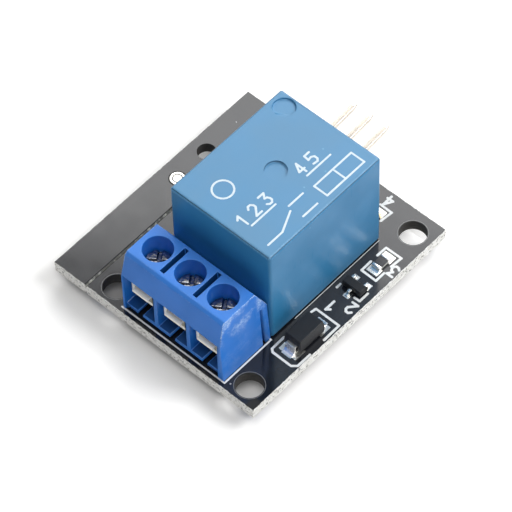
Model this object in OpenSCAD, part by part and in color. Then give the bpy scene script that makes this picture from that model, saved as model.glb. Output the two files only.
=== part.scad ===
// Relay module board: a changeover relay, a three-way screw terminal block, a three-pin
// angled header and the driver parts, on a drilled board that still has its break-off rail.
// Frame: +Z up through the parts, +X towards the header pins, +Y towards the rail.
// Origin: centre of the four mounting holes, on the underside of the board.

/* [Board] */
// Thickness of the board
board_t = 1.6; // [1.4:0.1:2.0]
// Board edge to the front of the terminal block
edge_margin = 0.7; // [0.5:0.1:2]
// Board in front of the relay, where the driver parts sit
front_strip = 5.0; // [4.8:0.1:7]
// Board behind the relay, up to the break-off line
rear_strip = 6.1; // [5.6:0.1:9]
// Board beyond the relay, where the header sits
side_strip = 6.1; // [5.8:0.1:9]
// Width of the break-off rail
rail_w = 5.1; // [4:0.1:8]
// Width of the scored break-off groove
score_w = 0.45; // [0.3:0.05:0.6]
// Depth of the scored groove in each face
score_depth = 0.45; // [0.2:0.05:0.6]
// Diameter of the mounting holes
hole_d = 3.5; // [3.0:0.1:3.6]
// Mounting holes to the terminal end of the board
hole_left = 2.3; // [2.1:0.1:2.6]
// Mounting holes to the header end of the board
hole_right = 2.9; // [2.2:0.1:3.4]
// Mounting holes to the front edge
hole_front = 2.6; // [2.1:0.1:2.8]
// Mounting holes to the break-off line
hole_rear = 2.9; // [2.2:0.1:3.2]
// Diameter of the tooling hole in the rail
tooling_hole_d = 2.4; // [1.5:0.1:3]
// Tooling hole to the terminal end of the board
tooling_hole_x = 23.9; // [22.5:0.1:30]
// Tooling hole outside the middle of the rail
tooling_hole_out = 0.15; // [0:0.05:0.3]
// Diameter of the alignment dot on the rail
dot_d = 1.05; // [0.8:0.05:1.2]
// Bare gap between the alignment dot and the ring around it
dot_gap = 0.15; // [0.1:0.05:0.25]
// Width of the ring around the alignment dot
dot_ring_w = 0.25; // [0.15:0.05:0.4]
// Alignment dot to the terminal end of the board
dot_x = 18.6; // [10:0.1:20]
// Thickness of the copper pads
pad_t = 0.05; // [0.03:0.01:0.08]
// Width of the copper ring around a drilled lead hole
ring_w = 0.45; // [0.3:0.05:0.6]

/* [Solder side] */
// Length of the trimmed leads below the board
tail = 1.8; // [1.4:0.1:2.4]
// Height of the solder cones
solder_h = 1.1; // [0.7:0.1:1.3]
// Solder and drill clearance around a lead
lead_gap = 0.12; // [0.08:0.01:0.2]

/* [Relay case] */
// Clear height between the board and the relay case
relay_lift = 0.3; // [0.2:0.05:0.6]
// Gap between the terminal block and the relay
relay_gap = 0.05; // [0.03:0.01:0.5]
// Wall of the relay cover
cover_wall = 0.8; // [0.6:0.05:1.0]
// Chamfer along the edges of the cover's top
cover_chamfer = 0.25; // [0.1:0.05:0.4]
// Radius of the cover's upright corners
cover_corner = 0.4; // [0.2:0.05:0.7]
// Diameter of the two round recesses in the cover's top
recess_d = 2.8; // [2:0.1:3.4]
// Depth of the round recesses
recess_depth = 0.3; // [0.15:0.05:0.4]
// Corner recess to the end wall of the cover
recess_in_x = 1.85; // [1.8:0.05:4]
// Corner recess to the side wall of the cover
recess_in_y = 2.1; // [1.8:0.05:4]
// Recess over the coil, from the middle line towards the rail
recess_shift = 0.2; // [0:0.05:1]
// Thickness of the relay base
base_t = 1.8; // [1.4:0.1:2.4]
// Clearance of the base inside the cover
base_gap = 0.05; // [0.03:0.01:0.1]

/* [Relay pins] */
// Contact pins to the outside of the cover
contact_pin_in = 2.4; // [2.2:0.1:3]
// Contact pins to coil pins, along the relay
pin_pitch = 12.2; // [12:0.1:13.5]
// Coil pins to the common pin, along the relay
com_offset = 2.0; // [1.8:0.1:2.4]
// Common pin to the outside of the cover
com_pin_in = 2.5; // [2.2:0.1:3.5]
// Distance between the two pins of a row
pin_spread = 12.0; // [11.8:0.1:13]
// Pins of a row to the side of the cover
pin_side_in = 1.7; // [1.6:0.1:2.4]
// Width of the contact pins
contact_pin_w = 1.0; // [0.8:0.05:1.2]
// Thickness of the contact pins
contact_pin_t = 0.5; // [0.4:0.05:0.6]
// Side of the square coil pins
coil_pin = 0.6; // [0.5:0.05:0.7]

/* [Relay mechanism] */
// Height of the wound part of the coil
winding_h = 6.4; // [5:0.1:8]
// Outer radius of the winding
winding_r = 4.9; // [4.2:0.1:5.0]
// Radius of the iron core
core_r = 2.0; // [1.6:0.1:2.4]
// Wall of the bobbin's tube
bobbin_wall = 0.5; // [0.4:0.05:0.8]
// Thickness of the bobbin flanges
flange_t = 0.7; // [0.5:0.05:1.0]
// Flange beyond the winding
flange_lip = 0.3; // [0.2:0.05:0.4]
// Thickness of the yoke
yoke_t = 1.0; // [0.8:0.05:1.1]
// Width of the yoke and the armature
yoke_w = 8.6; // [7:0.1:9.5]
// Thickness of the core's pole head
pole_t = 0.45; // [0.3:0.05:0.8]
// Radius of the core's pole head
pole_r = 3.2; // [2.6:0.1:3.8]
// Thickness of the armature
armature_t = 1.0; // [0.7:0.05:1.3]
// Thickness of the spring leaf
leaf_t = 0.25; // [0.2:0.05:0.35]
// Width of the spring leaf on the armature
leaf_w = 5.2; // [4:0.1:6]
// Width of the spring leaf at the contact
leaf_tip_w = 2.2; // [1.9:0.1:3]
// Angle of the armature when the coil is off
open_angle = 2.4; // [1.5:0.1:2.8]
// Height of a contact button
button_h = 0.4; // [0.3:0.05:0.5]
// Radius of a contact button
button_r = 0.85; // [0.6:0.05:0.9]
// Thickness of the fixed contact arms
arm_t = 0.45; // [0.35:0.05:0.6]
// Width of the fixed contact arms
arm_w = 2.0; // [1.8:0.1:2.2]
// Air between parts that meet when a contact closes
touch_gap = 0.05; // [0.03:0.01:0.08]
// Air between the upper contact arm and the cover
head_room = 0.28; // [0.2:0.02:0.8]

/* [Terminal block] */
// Distance between the ways
pitch = 5.08; // [5.0:0.01:5.3]
// Depth of the block, from the wire side to the back
term_depth = 8.05; // [7.8:0.05:9]
// Height of the block
term_h = 10.1; // [9.6:0.1:12]
// Height at which the sloped faces begin
term_knee = 6.6; // [6.6:0.1:6.9]
// Lean of the sloped wire-side face
front_lean = 0.8; // [0.5:0.05:0.9]
// Chamfer along the top of the wire side
front_chamfer = 0.4; // [0.2:0.05:0.45]
// Lean of the sloped rear face
rear_lean = 1.8; // [1.2:0.05:2]
// Shift of the block against the relay, towards the rail
term_shift = 0.66; // [0.2:0.02:0.8]
// How far the foot of the grooved end stands out from its top
end_flare = 0.55; // [0.3:0.05:0.6]
// Thickness of the end walls
end_wall = 0.5; // [0.4:0.05:0.6]
// Thickness of the ribs between the ways
rib_t = 0.6; // [0.5:0.05:0.7]
// Top of the block's floor
floor_top = 1.0; // [0.95:0.05:1.1]
// Clear height under the block's floor
floor_lift = 0.55; // [0.4:0.05:0.65]
// How far the floor and ribs stand back from the wire-side face
lip_back = 0.2; // [0.15:0.05:0.4]
// Width of the notch in the floor of each way
notch_w = 0.8; // [0.6:0.05:1]
// Length of the notch in the floor
notch_len = 2.6; // [2:0.1:3.4]
// Lower edge of the hood over the wire entries
hood_z = 6.45; // [6.2:0.05:6.5]
// Thickness of the hood
hood_t = 0.75; // [0.6:0.05:0.8]
// Thickness of the wall behind the clamps at the block's knee
rear_wall = 1.8; // [1.6:0.05:2]
// Diameter of the screwdriver holes
driver_hole_d = 3.7; // [3.6:0.05:3.9]
// Width of the slots between the ways
slot_w = 0.65; // [0.4:0.05:0.8]
// Depth of the slots between the ways
slot_depth = 2.9; // [1:0.1:3.0]
// Start of the slots behind the wire-side face
slot_from = 1.65; // [1.5:0.05:2]
// Length of the slots between the ways
slot_len = 4.25; // [3:0.05:4.3]
// Width of the interlock groove in the end face
key_w = 0.5; // [0.4:0.05:0.7]
// Depth of the interlock groove
key_depth = 0.3; // [0.2:0.02:0.34]
// Interlock groove to the back of the block
key_in = 1.3; // [1.1:0.05:1.4]

/* [Wire clamps] */
// Top of the current bar
bar_top = 4.6; // [4.5:0.05:4.65]
// Thickness of the current bar
bar_t = 0.3; // [0.3:0.05:0.5]
// Width of the current bar
bar_w = 2.45; // [2.3:0.05:2.7]
// Current bar behind the wire-side face
bar_in = 0.3; // [0.25:0.05:0.4]
// Drop of the current bar's bent front lip
bar_droop = 0.2; // [0.1:0.05:0.3]
// Length of the bent front lip
bar_lip = 0.6; // [0.4:0.05:0.7]
// Thickness of the leg at the back of the current bar
leg_t = 0.6; // [0.5:0.05:0.7]
// Width of the solder pin under the leg
pin_w = 1.0; // [0.8:0.05:1.2]
// Wall of the clamp cage at its sides
cage_wall = 0.45; // [0.35:0.05:0.5]
// Side clearance between the cage and the current bar
cage_gap = 0.2; // [0.12:0.02:0.22]
// Thickness of the cage's tapped top
cage_top_t = 0.7; // [0.6:0.05:0.75]
// Thickness of the cage's bottom
cage_bottom_t = 0.45; // [0.35:0.05:0.6]
// Height of the opened cage above the floor
cage_lift = 0.7; // [0.6:0.05:0.75]
// Clearance between the cage and the leg of the current bar
cage_leg_gap = 0.2; // [0.1:0.05:0.3]
// Depth of the cage
cage_len = 4.35; // [4.0:0.05:4.4]
// Metal of the cage behind the screw
cage_edge = 0.28; // [0.2:0.02:0.4]
// Travel of the cage
cage_travel = 1.4; // [1.3:0.05:1.45]
// Height to which the screws have raised the cages
clamp_rise = 1.2; // [0:0.05:1.25]
// Diameter of the clamp screw
screw_d = 2.5; // [2:0.1:2.6]
// Diameter of the screw head
screw_head_d = 3.3; // [3.0:0.05:3.4]
// Height of the screw head
screw_head_h = 0.9; // [0.7:0.05:1.1]
// Width of the driver slots in the screw head
driver_slot_w = 0.5; // [0.35:0.05:0.7]
// Depth of the driver slots
driver_slot_depth = 0.5; // [0.3:0.05:0.6]
// Running clearance of the screw in the cage's thread
thread_gap = 0.03; // [0.02:0.01:0.06]

/* [Header] */
// Distance between the header pins
header_pitch = 2.54; // [2.5:0.01:2.6]
// Side of the square header pins
header_pin = 0.64; // [0.6:0.01:0.66]
// Pin length beyond the insulator
header_reach = 6.0; // [5:0.1:9]
// Height of the pins over the board at their bend
header_rise = 1.3; // [1.25:0.05:1.6]
// Upward lean of the pins, in degrees
header_lean = 6; // [0:0.5:7]
// Side of the square insulator
insulator = 2.5; // [2.3:0.05:2.5]
// Insulator to the bend of the pins
bend_gap = 1.1; // [0.8:0.05:1.6]
// Centre of the header, from the middle of the relay towards the rail
header_shift = 4.0; // [3.4:0.1:4.2]

/* [Diode] */
// Diode's middle from the relay's terminal end
diode_x = 2.6; // [2.4:0.1:4]
// Diode's middle from the front edge
diode_y = 2.25; // [2:0.05:2.5]
// Length of the diode body
diode_len = 4.3; // [3.8:0.1:4.6]
// Width of the diode body
diode_w = 2.6; // [2.2:0.1:2.8]
// Height of the diode body
diode_h = 2.05; // [1.8:0.05:2.3]
// Width of the diode's leads
diode_lead_w = 1.45; // [1.2:0.05:1.6]
// Thickness of the diode's leads
diode_lead_t = 0.2; // [0.15:0.01:0.25]
// Reach of the diode's leads beyond the body
diode_lead_out = 0.35; // [0.25:0.05:0.5]

/* [Transistor] */
// Transistor's middle from the relay's terminal end
transistor_x = 11.65; // [10.5:0.05:12]
// Length of the transistor body
transistor_len = 2.9; // [2.6:0.1:3.0]
// Width of the transistor body
transistor_w = 1.3; // [1.2:0.05:1.5]
// Height of the transistor body
transistor_h = 0.95; // [0.85:0.05:1.1]
// Clear height under the transistor body
transistor_lift = 0.08; // [0.05:0.01:0.15]
// Width of the transistor's leads
gull_w = 0.42; // [0.3:0.02:0.5]
// Thickness of the transistor's leads
gull_t = 0.12; // [0.1:0.01:0.15]
// Distance between the two leads on one side
gull_pitch = 1.9; // [1.7:0.05:2.0]
// Reach of the transistor's leads beyond the body
gull_out = 0.55; // [0.45:0.05:0.65]

/* [Chip parts] */
// Middle of the front chip row from the front edge
chip_row_y = 2.5; // [2.2:0.05:2.6]
// Resistor's middle from the relay's terminal end
resistor_x = 16.4; // [15.8:0.1:17]
// Length of a chip part
chip_len = 2.0; // [1.8:0.05:2.1]
// Width of a chip part
chip_w = 1.25; // [1.1:0.05:1.4]
// Height of a chip part
chip_h = 0.5; // [0.4:0.05:0.65]
// Length of a chip part's end caps
cap_len = 0.38; // [0.3:0.02:0.45]
// Thickness of the end caps' metal
cap_t = 0.03; // [0.02:0.01:0.05]
// Middle of the lamp and its resistor beyond the relay
lamp_x = 1.6; // [1.5:0.05:2]
// Lamp's middle from the front of the relay
lamp_y = 2.6; // [2.4:0.1:3]
// Distance between the lamp and its resistor
lamp_pitch = 2.9; // [2.6:0.1:3.2]
// Height of the lamp's lens
lens_h = 0.45; // [0.3:0.05:0.7]
// Length of a solder pad
pad_len = 1.15; // [1:0.05:1.3]
// Width of the solder pads of a chip part
pad_w = 1.6; // [1.4:0.05:1.8]

/* [Hidden] */
$fn = 48;
eps = 0.01;
cut = 1;
ways = 3;

// Relay, measured from its terminal end
relay_len = contact_pin_in + pin_pitch + com_offset + com_pin_in;
relay_wid = pin_spread + 2 * pin_side_in;
relay_x = edge_margin + term_depth + relay_gap;
relay_y = front_strip;
relay_cy = relay_y + relay_wid / 2;
contact_pin_x = contact_pin_in;
coil_pin_x = contact_pin_x + pin_pitch;
com_pin_x = coil_pin_x + com_offset;
strap_gap = 0.1;
yoke_x1 = com_pin_x - leaf_t / 2 - strap_gap;
yoke_x0 = yoke_x1 - yoke_t;
flange_half = winding_r + flange_lip;
coil_gap = 0.35;
coil_x = yoke_x0 - coil_gap - flange_half;
tube_gap = 0.05;
tube_r = core_r + tube_gap + bobbin_wall;

// Relay heights above the board
seat_gap = 0.1;
pin_slack = 0.01;
press_gap = 0.03;
base_z = relay_lift;
leg_z = base_z + base_t + seat_gap;
bobbin_z = leg_z + yoke_t;
bobbin_h = winding_h + 2 * flange_t;
pole_z = bobbin_z + bobbin_h;
hinge_z = pole_z + pole_t + touch_gap;
leaf_z = hinge_z + armature_t;
reach = yoke_x1 - contact_pin_x;
contact_rise = reach * tan(open_angle) + button_r * sin(open_angle);
open_button_z = leaf_z - button_h - touch_gap;
open_arm_z = open_button_z - button_h - arm_t;
closed_button_z = leaf_z + leaf_t + button_h + contact_rise + touch_gap;
closed_arm_z = closed_button_z + button_h;
cover_z1 = closed_arm_z + arm_t + head_room + cover_wall;
cover_h = cover_z1 - relay_lift;

// Board
board_w = relay_x + relay_len + side_strip;
board_d = relay_y + relay_wid + rear_strip;
hole_pitch_x = board_w - hole_left - hole_right;
hole_pitch_y = board_d - hole_front - hole_rear;
origin_x = hole_left + hole_pitch_x / 2;
origin_y = hole_front + hole_pitch_y / 2;
rail_y = board_d + rail_w / 2;

// Terminal block, measured from its wire-side face
term_w = ways * pitch;
term_cy = relay_cy + term_shift;
way_w = pitch - rib_t;
chamber_gap = 0.1;
cage_bottom_z = floor_top + cage_lift;
cage_top_z = bar_top + touch_gap;
cage_inner_w = bar_w + 2 * cage_gap;
cage_outer_w = cage_inner_w + 2 * cage_wall;
screw_seat_z = cage_top_z + cage_top_t + cage_travel + touch_gap;
chamber_z = screw_seat_z + chamber_gap;
chamber_x1 = term_depth - rear_wall;
leg_gap = 0.2;
leg_x = chamber_x1 - leg_gap - leg_t;
cage_x1 = leg_x - cage_leg_gap;
cage_x0 = cage_x1 - cage_len;
screw_x = cage_x1 - cage_edge - screw_d / 2;

// Header
header_cy = relay_cy + header_shift;
bend_x = board_w - insulator - bend_gap - header_pin / 2;

// Driver parts
chip_z = pad_t;
lamp_cx = relay_x + relay_len + lamp_x;

function way_y(i) = term_cy + ((ways - 1) / 2 - i) * pitch;
function header_y(i) = header_cy + (i - 1) * header_pitch;

// ---------- helpers ----------

// Puts children given in board coordinates (corner of the board, top face at 0) into the frame
module on_board() {
    translate([-origin_x, -origin_y, board_t]) children();
}

// Puts children given from the relay's terminal end and middle line on the board
module at_relay() {
    on_board() translate([relay_x, relay_cy, 0]) children();
}

// Puts children given from the wire-side face and the middle of way i on the board
module at_way(i) {
    on_board() translate([edge_margin, way_y(i), 0]) children();
}

// Box centred on Y, from x0 to x1 and z0 to z1
module bar(x0, x1, w, z0, z1) {
    translate([x0, -w / 2, z0]) cube([x1 - x0, w, z1 - z0]);
}

// Box centred on X and Y, from z0 to z1
module post(l, w, z0, z1) {
    translate([-l / 2, -w / 2, z0]) cube([l, w, z1 - z0]);
}

// Side profile in X and Z, extruded along Y and centred on it
module profile(points, w) {
    rotate([90, 0, 0]) translate([0, 0, -w / 2]) linear_extrude(w) polygon(points);
}

// Block with sides that lean in by the draft towards its top
module drafted_block(l, w, h, draft) {
    intersection() {
        profile([[-l / 2, 0], [l / 2, 0], [l / 2 - draft, h], [-l / 2 + draft, h]], w);
        rotate([0, 0, 90])
            profile([[-w / 2, 0], [w / 2, 0], [w / 2 - draft, h], [-w / 2 + draft, h]], l);
    }
}

// Rounded rectangle from plain squares and circles
module round_rect(l, w, r) {
    square([l - 2 * r, w], center = true);
    square([l, w - 2 * r], center = true);
    for (x = [-1, 1], y = [-1, 1])
        translate([x * (l / 2 - r), y * (w / 2 - r)]) circle(r);
}

// ---------- lead positions ----------

module at_contact_pins() {
    for (side = [-1, 1]) at_relay() translate([contact_pin_x, side * pin_spread / 2, 0]) children();
}

module at_coil_pins() {
    for (side = [-1, 1]) at_relay() translate([coil_pin_x, side * pin_spread / 2, 0]) children();
}

module at_common_pin() {
    at_relay() translate([com_pin_x, 0, 0]) children();
}

module at_terminal_pins() {
    for (i = [0:ways - 1]) at_way(i) translate([leg_x + leg_t / 2, 0, 0]) children();
}

module at_header_pins() {
    for (i = [0:ways - 1]) on_board() translate([bend_x, header_y(i), 0]) children();
}

// Half diagonal of a rectangular lead
function half_diagonal(l, w) = sqrt(l * l + w * w) / 2;
contact_hole_r = half_diagonal(contact_pin_t, contact_pin_w) + lead_gap;
coil_hole_r = half_diagonal(coil_pin, coil_pin) + lead_gap;
com_hole_r = half_diagonal(leaf_t, contact_pin_w) + lead_gap;
terminal_hole_r = half_diagonal(leg_t, pin_w) + lead_gap;
header_hole_r = half_diagonal(header_pin, header_pin) + lead_gap;

// ---------- board ----------

// V groove along the break-off line; side is 1 on the upper face and -1 on the lower one
module score_groove(z, side) {
    translate([board_w / 2, board_d, z])
        rotate([0, 0, 90])
            profile([[-score_w / 2, side * eps], [score_w / 2, side * eps],
                     [0, -side * score_depth]], board_w + 2 * cut);
}

module drill(r) {
    translate([0, 0, -board_t - cut]) cylinder(r = r, h = board_t + 2 * cut);
}

module mounting_holes() {
    for (x = [hole_left, board_w - hole_right], y = [hole_front, board_d - hole_rear])
        on_board() translate([x, y, 0]) drill(hole_d / 2);
}

module circuit_board() {
    color([0.10, 0.11, 0.13])
    difference() {
        on_board() translate([0, 0, -board_t]) cube([board_w, board_d + rail_w, board_t]);
        on_board() score_groove(0, 1);
        on_board() score_groove(-board_t, -1);
        mounting_holes();
        on_board() translate([tooling_hole_x, rail_y + tooling_hole_out, 0]) drill(tooling_hole_d / 2);
        at_contact_pins() drill(contact_hole_r);
        at_coil_pins() drill(coil_hole_r);
        at_common_pin() drill(com_hole_r);
        at_terminal_pins() drill(terminal_hole_r);
        at_header_pins() drill(header_hole_r);
    }
}

// Copper ring on both faces around a drilled hole
module ring(r) {
    for (z = [0, -board_t - pad_t])
        translate([0, 0, z]) difference() {
            cylinder(r = r + ring_w, h = pad_t);
            translate([0, 0, -cut]) cylinder(r = r, h = pad_t + 2 * cut);
        }
}

// Round mark with a ring around it, for lining up the board while it is fitted out
module alignment_dot() {
    r = dot_d / 2;
    cylinder(r = r, h = pad_t);
    difference() {
        cylinder(r = r + dot_gap + dot_ring_w, h = pad_t);
        translate([0, 0, -cut]) cylinder(r = r + dot_gap, h = pad_t + 2 * cut);
    }
}

// Pair of pads for a two-ended part
module pad_pair(half_pitch, l, w) {
    for (side = [-1, 1]) translate([side * half_pitch, 0, 0]) post(l, w, 0, pad_t);
}

diode_pad_half = diode_len / 2 + diode_lead_out;
gull_pad_half = transistor_w / 2 + gull_out;
chip_pad_half = chip_len / 2 + pad_len / 6;

module board_pads() {
    color([0.80, 0.80, 0.78]) {
        at_contact_pins() ring(contact_hole_r);
        at_coil_pins() ring(coil_hole_r);
        at_common_pin() ring(com_hole_r);
        at_terminal_pins() ring(terminal_hole_r);
        at_header_pins() ring(header_hole_r);
        on_board() translate([dot_x, rail_y, 0]) alignment_dot();
        at_diode() pad_pair(diode_pad_half - pad_len / 4, pad_len * 1.5, diode_w);
        at_resistor() pad_pair(chip_pad_half, pad_len, pad_w);
        at_lamp(0) pad_pair(chip_pad_half, pad_len, pad_w);
        at_lamp(1) pad_pair(chip_pad_half, pad_len, pad_w);
        at_transistor() gull_places() post(pad_len * 0.8, gull_w * 2, 0, pad_t);
    }
}

// ---------- terminal block ----------

term_top_x0 = front_lean + front_chamfer;
term_top_x1 = term_depth - rear_lean;
ring_x1 = leg_x + leg_t / 2 + terminal_hole_r + ring_w + lead_gap;

module block_outline() {
    foot_y = -term_w / 2 - end_flare;
    intersection() {
        profile([[0, 0], [term_depth, 0], [term_depth, term_knee], [term_top_x1, term_h],
                 [term_top_x0, term_h], [front_lean, term_h - front_chamfer], [0, term_knee]],
                term_w + 2 * end_flare);
        rotate([0, 0, 90])
            profile([[foot_y, 0], [term_w / 2, 0], [term_w / 2, term_h], [-term_w / 2, term_h]],
                    3 * term_depth);
    }
}

// Space inside one way: wire entry, clamp chamber, floor notch, pin slot and screwdriver hole
module way_space() {
    bar(-cut, chamber_x1, way_w, floor_top, hood_z);
    bar(hood_t, chamber_x1, way_w, hood_z - eps, chamber_z);
    bar(-cut, lip_back, way_w, -cut, hood_z - eps);
    bar(-cut, notch_len, notch_w, -cut, floor_top + eps);
    bar(leg_x - lead_gap, leg_x + leg_t + lead_gap, pin_w + 2 * lead_gap, -cut, floor_top + eps);
    translate([screw_x, 0, chamber_z - eps]) cylinder(d = driver_hole_d, h = term_h);
}

// Groove that takes the key of a neighbouring block
module key_slot() {
    open_side = end_flare + cut;
    translate([term_depth - key_in, -term_w / 2 - open_side, -cut])
        cube([key_w, key_depth + open_side, term_knee + cut]);
}

// Key that slides into a neighbouring block's groove
module key() {
    key_play = 0.05;
    translate([term_depth - key_in + key_play, term_w / 2 - eps, 0])
        cube([key_w - 2 * key_play, key_depth - key_play + eps, term_knee - 2 * key_play]);
}

module terminal_housing() {
    color([0.16, 0.42, 0.82])
    difference() {
        on_board() translate([edge_margin, term_cy, 0]) union() {
            block_outline();
            key();
        }
        for (i = [0:ways - 1]) at_way(i) way_space();
        on_board() translate([edge_margin, term_cy, 0]) {
            // ribs and floor stand back between the end walls
            bar(-cut, lip_back, term_w - 2 * end_wall, -cut, hood_z - eps);
            // the floor stands clear of the board and its copper rings between the end walls
            bar(-cut, ring_x1, term_w - 2 * end_wall, -cut, floor_lift);
            // slots between the ways
            for (side = [-1, 1])
                translate([slot_from, side * pitch / 2 - slot_w / 2, term_h - slot_depth])
                    cube([slot_len, slot_w, slot_depth + cut]);
            key_slot();
        }
    }
}

// ---------- wire clamps ----------

module current_bar(i) {
    bar_z0 = bar_top - bar_t;
    color([0.86, 0.84, 0.76])
    at_way(i) {
        profile([[bar_in, bar_z0 - bar_droop], [bar_in + bar_lip, bar_z0], [leg_x, bar_z0],
                 [leg_x, floor_top], [leg_x + leg_t, floor_top], [leg_x + leg_t, bar_top],
                 [bar_in + bar_lip, bar_top], [bar_in, bar_top - bar_droop]], bar_w);
        bar(leg_x, leg_x + leg_t, pin_w, -board_t - tail, floor_top + eps);
    }
}

module clamp_cage(i) {
    color([0.80, 0.80, 0.78])
    at_way(i) translate([0, 0, clamp_rise]) difference() {
        bar(cage_x0, cage_x1, cage_outer_w, cage_bottom_z, cage_top_z + cage_top_t);
        bar(cage_x0 - cut, cage_x1 + cut, cage_inner_w, cage_bottom_z + cage_bottom_t, cage_top_z);
        translate([screw_x, 0, cage_bottom_z + cage_bottom_t + cut])
            cylinder(r = screw_d / 2 + thread_gap, h = term_h);
    }
}

module clamp_screw(i) {
    head_top = screw_seat_z + screw_head_h;
    slot_turn = 35;
    color([0.74, 0.75, 0.76])
    at_way(i) translate([screw_x, 0, 0]) difference() {
        union() {
            translate([0, 0, screw_seat_z]) cylinder(d = screw_head_d, h = screw_head_h);
            translate([0, 0, bar_top + touch_gap])
                cylinder(d = screw_d, h = screw_seat_z - bar_top);
        }
        for (turn = [slot_turn, slot_turn + 90])
            translate([0, 0, head_top - driver_slot_depth]) rotate([0, 0, turn])
                translate([-screw_head_d, -driver_slot_w / 2, 0])
                    cube([2 * screw_head_d, driver_slot_w, driver_slot_depth + cut]);
    }
}

// ---------- relay case ----------

module cover_outline() {
    l = relay_len;
    w = relay_wid;
    c = cover_chamfer;
    h = cover_h;
    translate([l / 2, 0, relay_lift]) intersection() {
        linear_extrude(h) round_rect(l, w, cover_corner);
        profile([[-l / 2, 0], [l / 2, 0], [l / 2, h - c], [l / 2 - c, h], [-l / 2 + c, h],
                 [-l / 2, h - c]], w);
        rotate([0, 0, 90])
            profile([[-w / 2, 0], [w / 2, 0], [w / 2, h - c], [w / 2 - c, h], [-w / 2 + c, h],
                     [-w / 2, h - c]], l);
    }
}

module relay_cover() {
    color([0.30, 0.58, 0.80])
    at_relay() difference() {
        cover_outline();
        bar(cover_wall, relay_len - cover_wall, relay_wid - 2 * cover_wall, -cut,
            cover_z1 - cover_wall);
        cover_recess(relay_len - recess_in_x, relay_wid / 2 - recess_in_y);
        cover_recess(coil_x, recess_shift);
    }
}

// Round recess in the top of the cover, where the mould's ejector or gate stood
module cover_recess(x, y) {
    translate([x, y, cover_z1 - recess_depth]) cylinder(d = recess_d, h = cut);
}

module relay_base() {
    foot_r = 0.6;
    foot_in = 2;
    edge = cover_wall + base_gap;
    color([0.12, 0.30, 0.50])
    difference() {
        at_relay() union() {
            bar(edge, relay_len - edge, relay_wid - 2 * edge, base_z, base_z + base_t);
            for (x = [foot_in, relay_len - foot_in], side = [-1, 1])
                translate([x, side * (relay_wid / 4), 0]) cylinder(r = foot_r, h = base_z + eps);
        }
        at_contact_pins() lead_slot(contact_pin_t, contact_pin_w);
        at_coil_pins() lead_slot(coil_pin, coil_pin);
        at_common_pin() lead_slot(leaf_t, contact_pin_w);
    }
}

// Slot in the base for a lead of the given section
module lead_slot(l, w) {
    slot_slack = 2 * pin_slack;
    post(l + 2 * slot_slack, w + 2 * slot_slack, -cut, base_z + base_t + cut);
}

// ---------- relay mechanism ----------

module relay_bobbin() {
    foot = 2.4;
    foot_w = 1.4;
    color([0.92, 0.90, 0.84])
    difference() {
        at_relay() union() {
            translate([coil_x, 0, bobbin_z]) {
                cylinder(r = tube_r, h = bobbin_h);
                post(2 * flange_half, 2 * flange_half, 0, flange_t);
                post(2 * flange_half, 2 * flange_half, bobbin_h - flange_t, bobbin_h);
            }
            for (side = [-1, 1])
                translate([coil_pin_x, side * (pin_spread / 2 - foot / 4), 0])
                    post(foot_w, foot, bobbin_z, bobbin_z + flange_t);
        }
        at_relay() translate([coil_x, 0, bobbin_z - cut])
            cylinder(r = core_r + tube_gap, h = bobbin_h + 2 * cut);
        at_coil_pins() post(coil_pin + 2 * pin_slack, coil_pin + 2 * pin_slack, 0, bobbin_z + 2 * cut);
    }
}

module relay_winding() {
    color([0.72, 0.36, 0.16])
    at_relay() translate([coil_x, 0, bobbin_z + flange_t + tube_gap]) difference() {
        cylinder(r = winding_r, h = winding_h - 2 * tube_gap);
        translate([0, 0, -cut]) cylinder(r = tube_r + tube_gap, h = winding_h + 2 * cut);
    }
}

core_step = 0.4;
core_neck_r = core_r - core_step;

module relay_core() {
    color([0.62, 0.63, 0.64])
    at_relay() translate([coil_x, 0, 0]) {
        translate([0, 0, leg_z]) cylinder(r = core_neck_r, h = yoke_t + eps);
        translate([0, 0, bobbin_z]) cylinder(r = core_r, h = bobbin_h + eps);
        translate([0, 0, pole_z]) cylinder(r = pole_r, h = pole_t);
    }
}

module relay_yoke() {
    color([0.58, 0.59, 0.60])
    at_relay() difference() {
        profile([[coil_x - flange_half, leg_z], [yoke_x1, leg_z], [yoke_x1, hinge_z - touch_gap],
                 [yoke_x0, hinge_z - touch_gap], [yoke_x0, bobbin_z],
                 [coil_x - flange_half, bobbin_z]], yoke_w);
        translate([coil_x, 0, leg_z - cut])
            cylinder(r = core_neck_r + press_gap, h = yoke_t + 2 * cut);
    }
}

// Turns the closed position of the moving parts to the position with the coil off
module opened() {
    at_relay() translate([yoke_x1, 0, hinge_z]) rotate([0, open_angle, 0])
        translate([-yoke_x1, 0, -hinge_z]) children();
}

armature_over = 1.2;
armature_x0 = coil_x - pole_r - armature_over;

shank_r = button_r / 2 - pin_slack;

module relay_armature() {
    color([0.66, 0.67, 0.68])
    opened() bar(armature_x0, yoke_x1, yoke_w, hinge_z, hinge_z + armature_t);
}

leaf_over = 0.6;

module contact_leaf() {
    rivet_r = 0.6;
    rivet_h = 0.25;
    neck_x = armature_x0 - leaf_over;
    color([0.78, 0.60, 0.36])
    opened() difference() {
        union() {
            bar(neck_x, yoke_x1, leaf_w, leaf_z, leaf_z + leaf_t);
            bar(contact_pin_x - leaf_tip_w / 2, neck_x + eps, leaf_tip_w, leaf_z, leaf_z + leaf_t);
            for (side = [-1, 1])
                translate([coil_x, side * leaf_w / 4, leaf_z])
                    cylinder(r = rivet_r, h = leaf_t + rivet_h);
        }
        translate([contact_pin_x, 0, leaf_z - cut])
            cylinder(r = button_r / 2, h = leaf_t + 2 * cut);
    }
}

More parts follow.
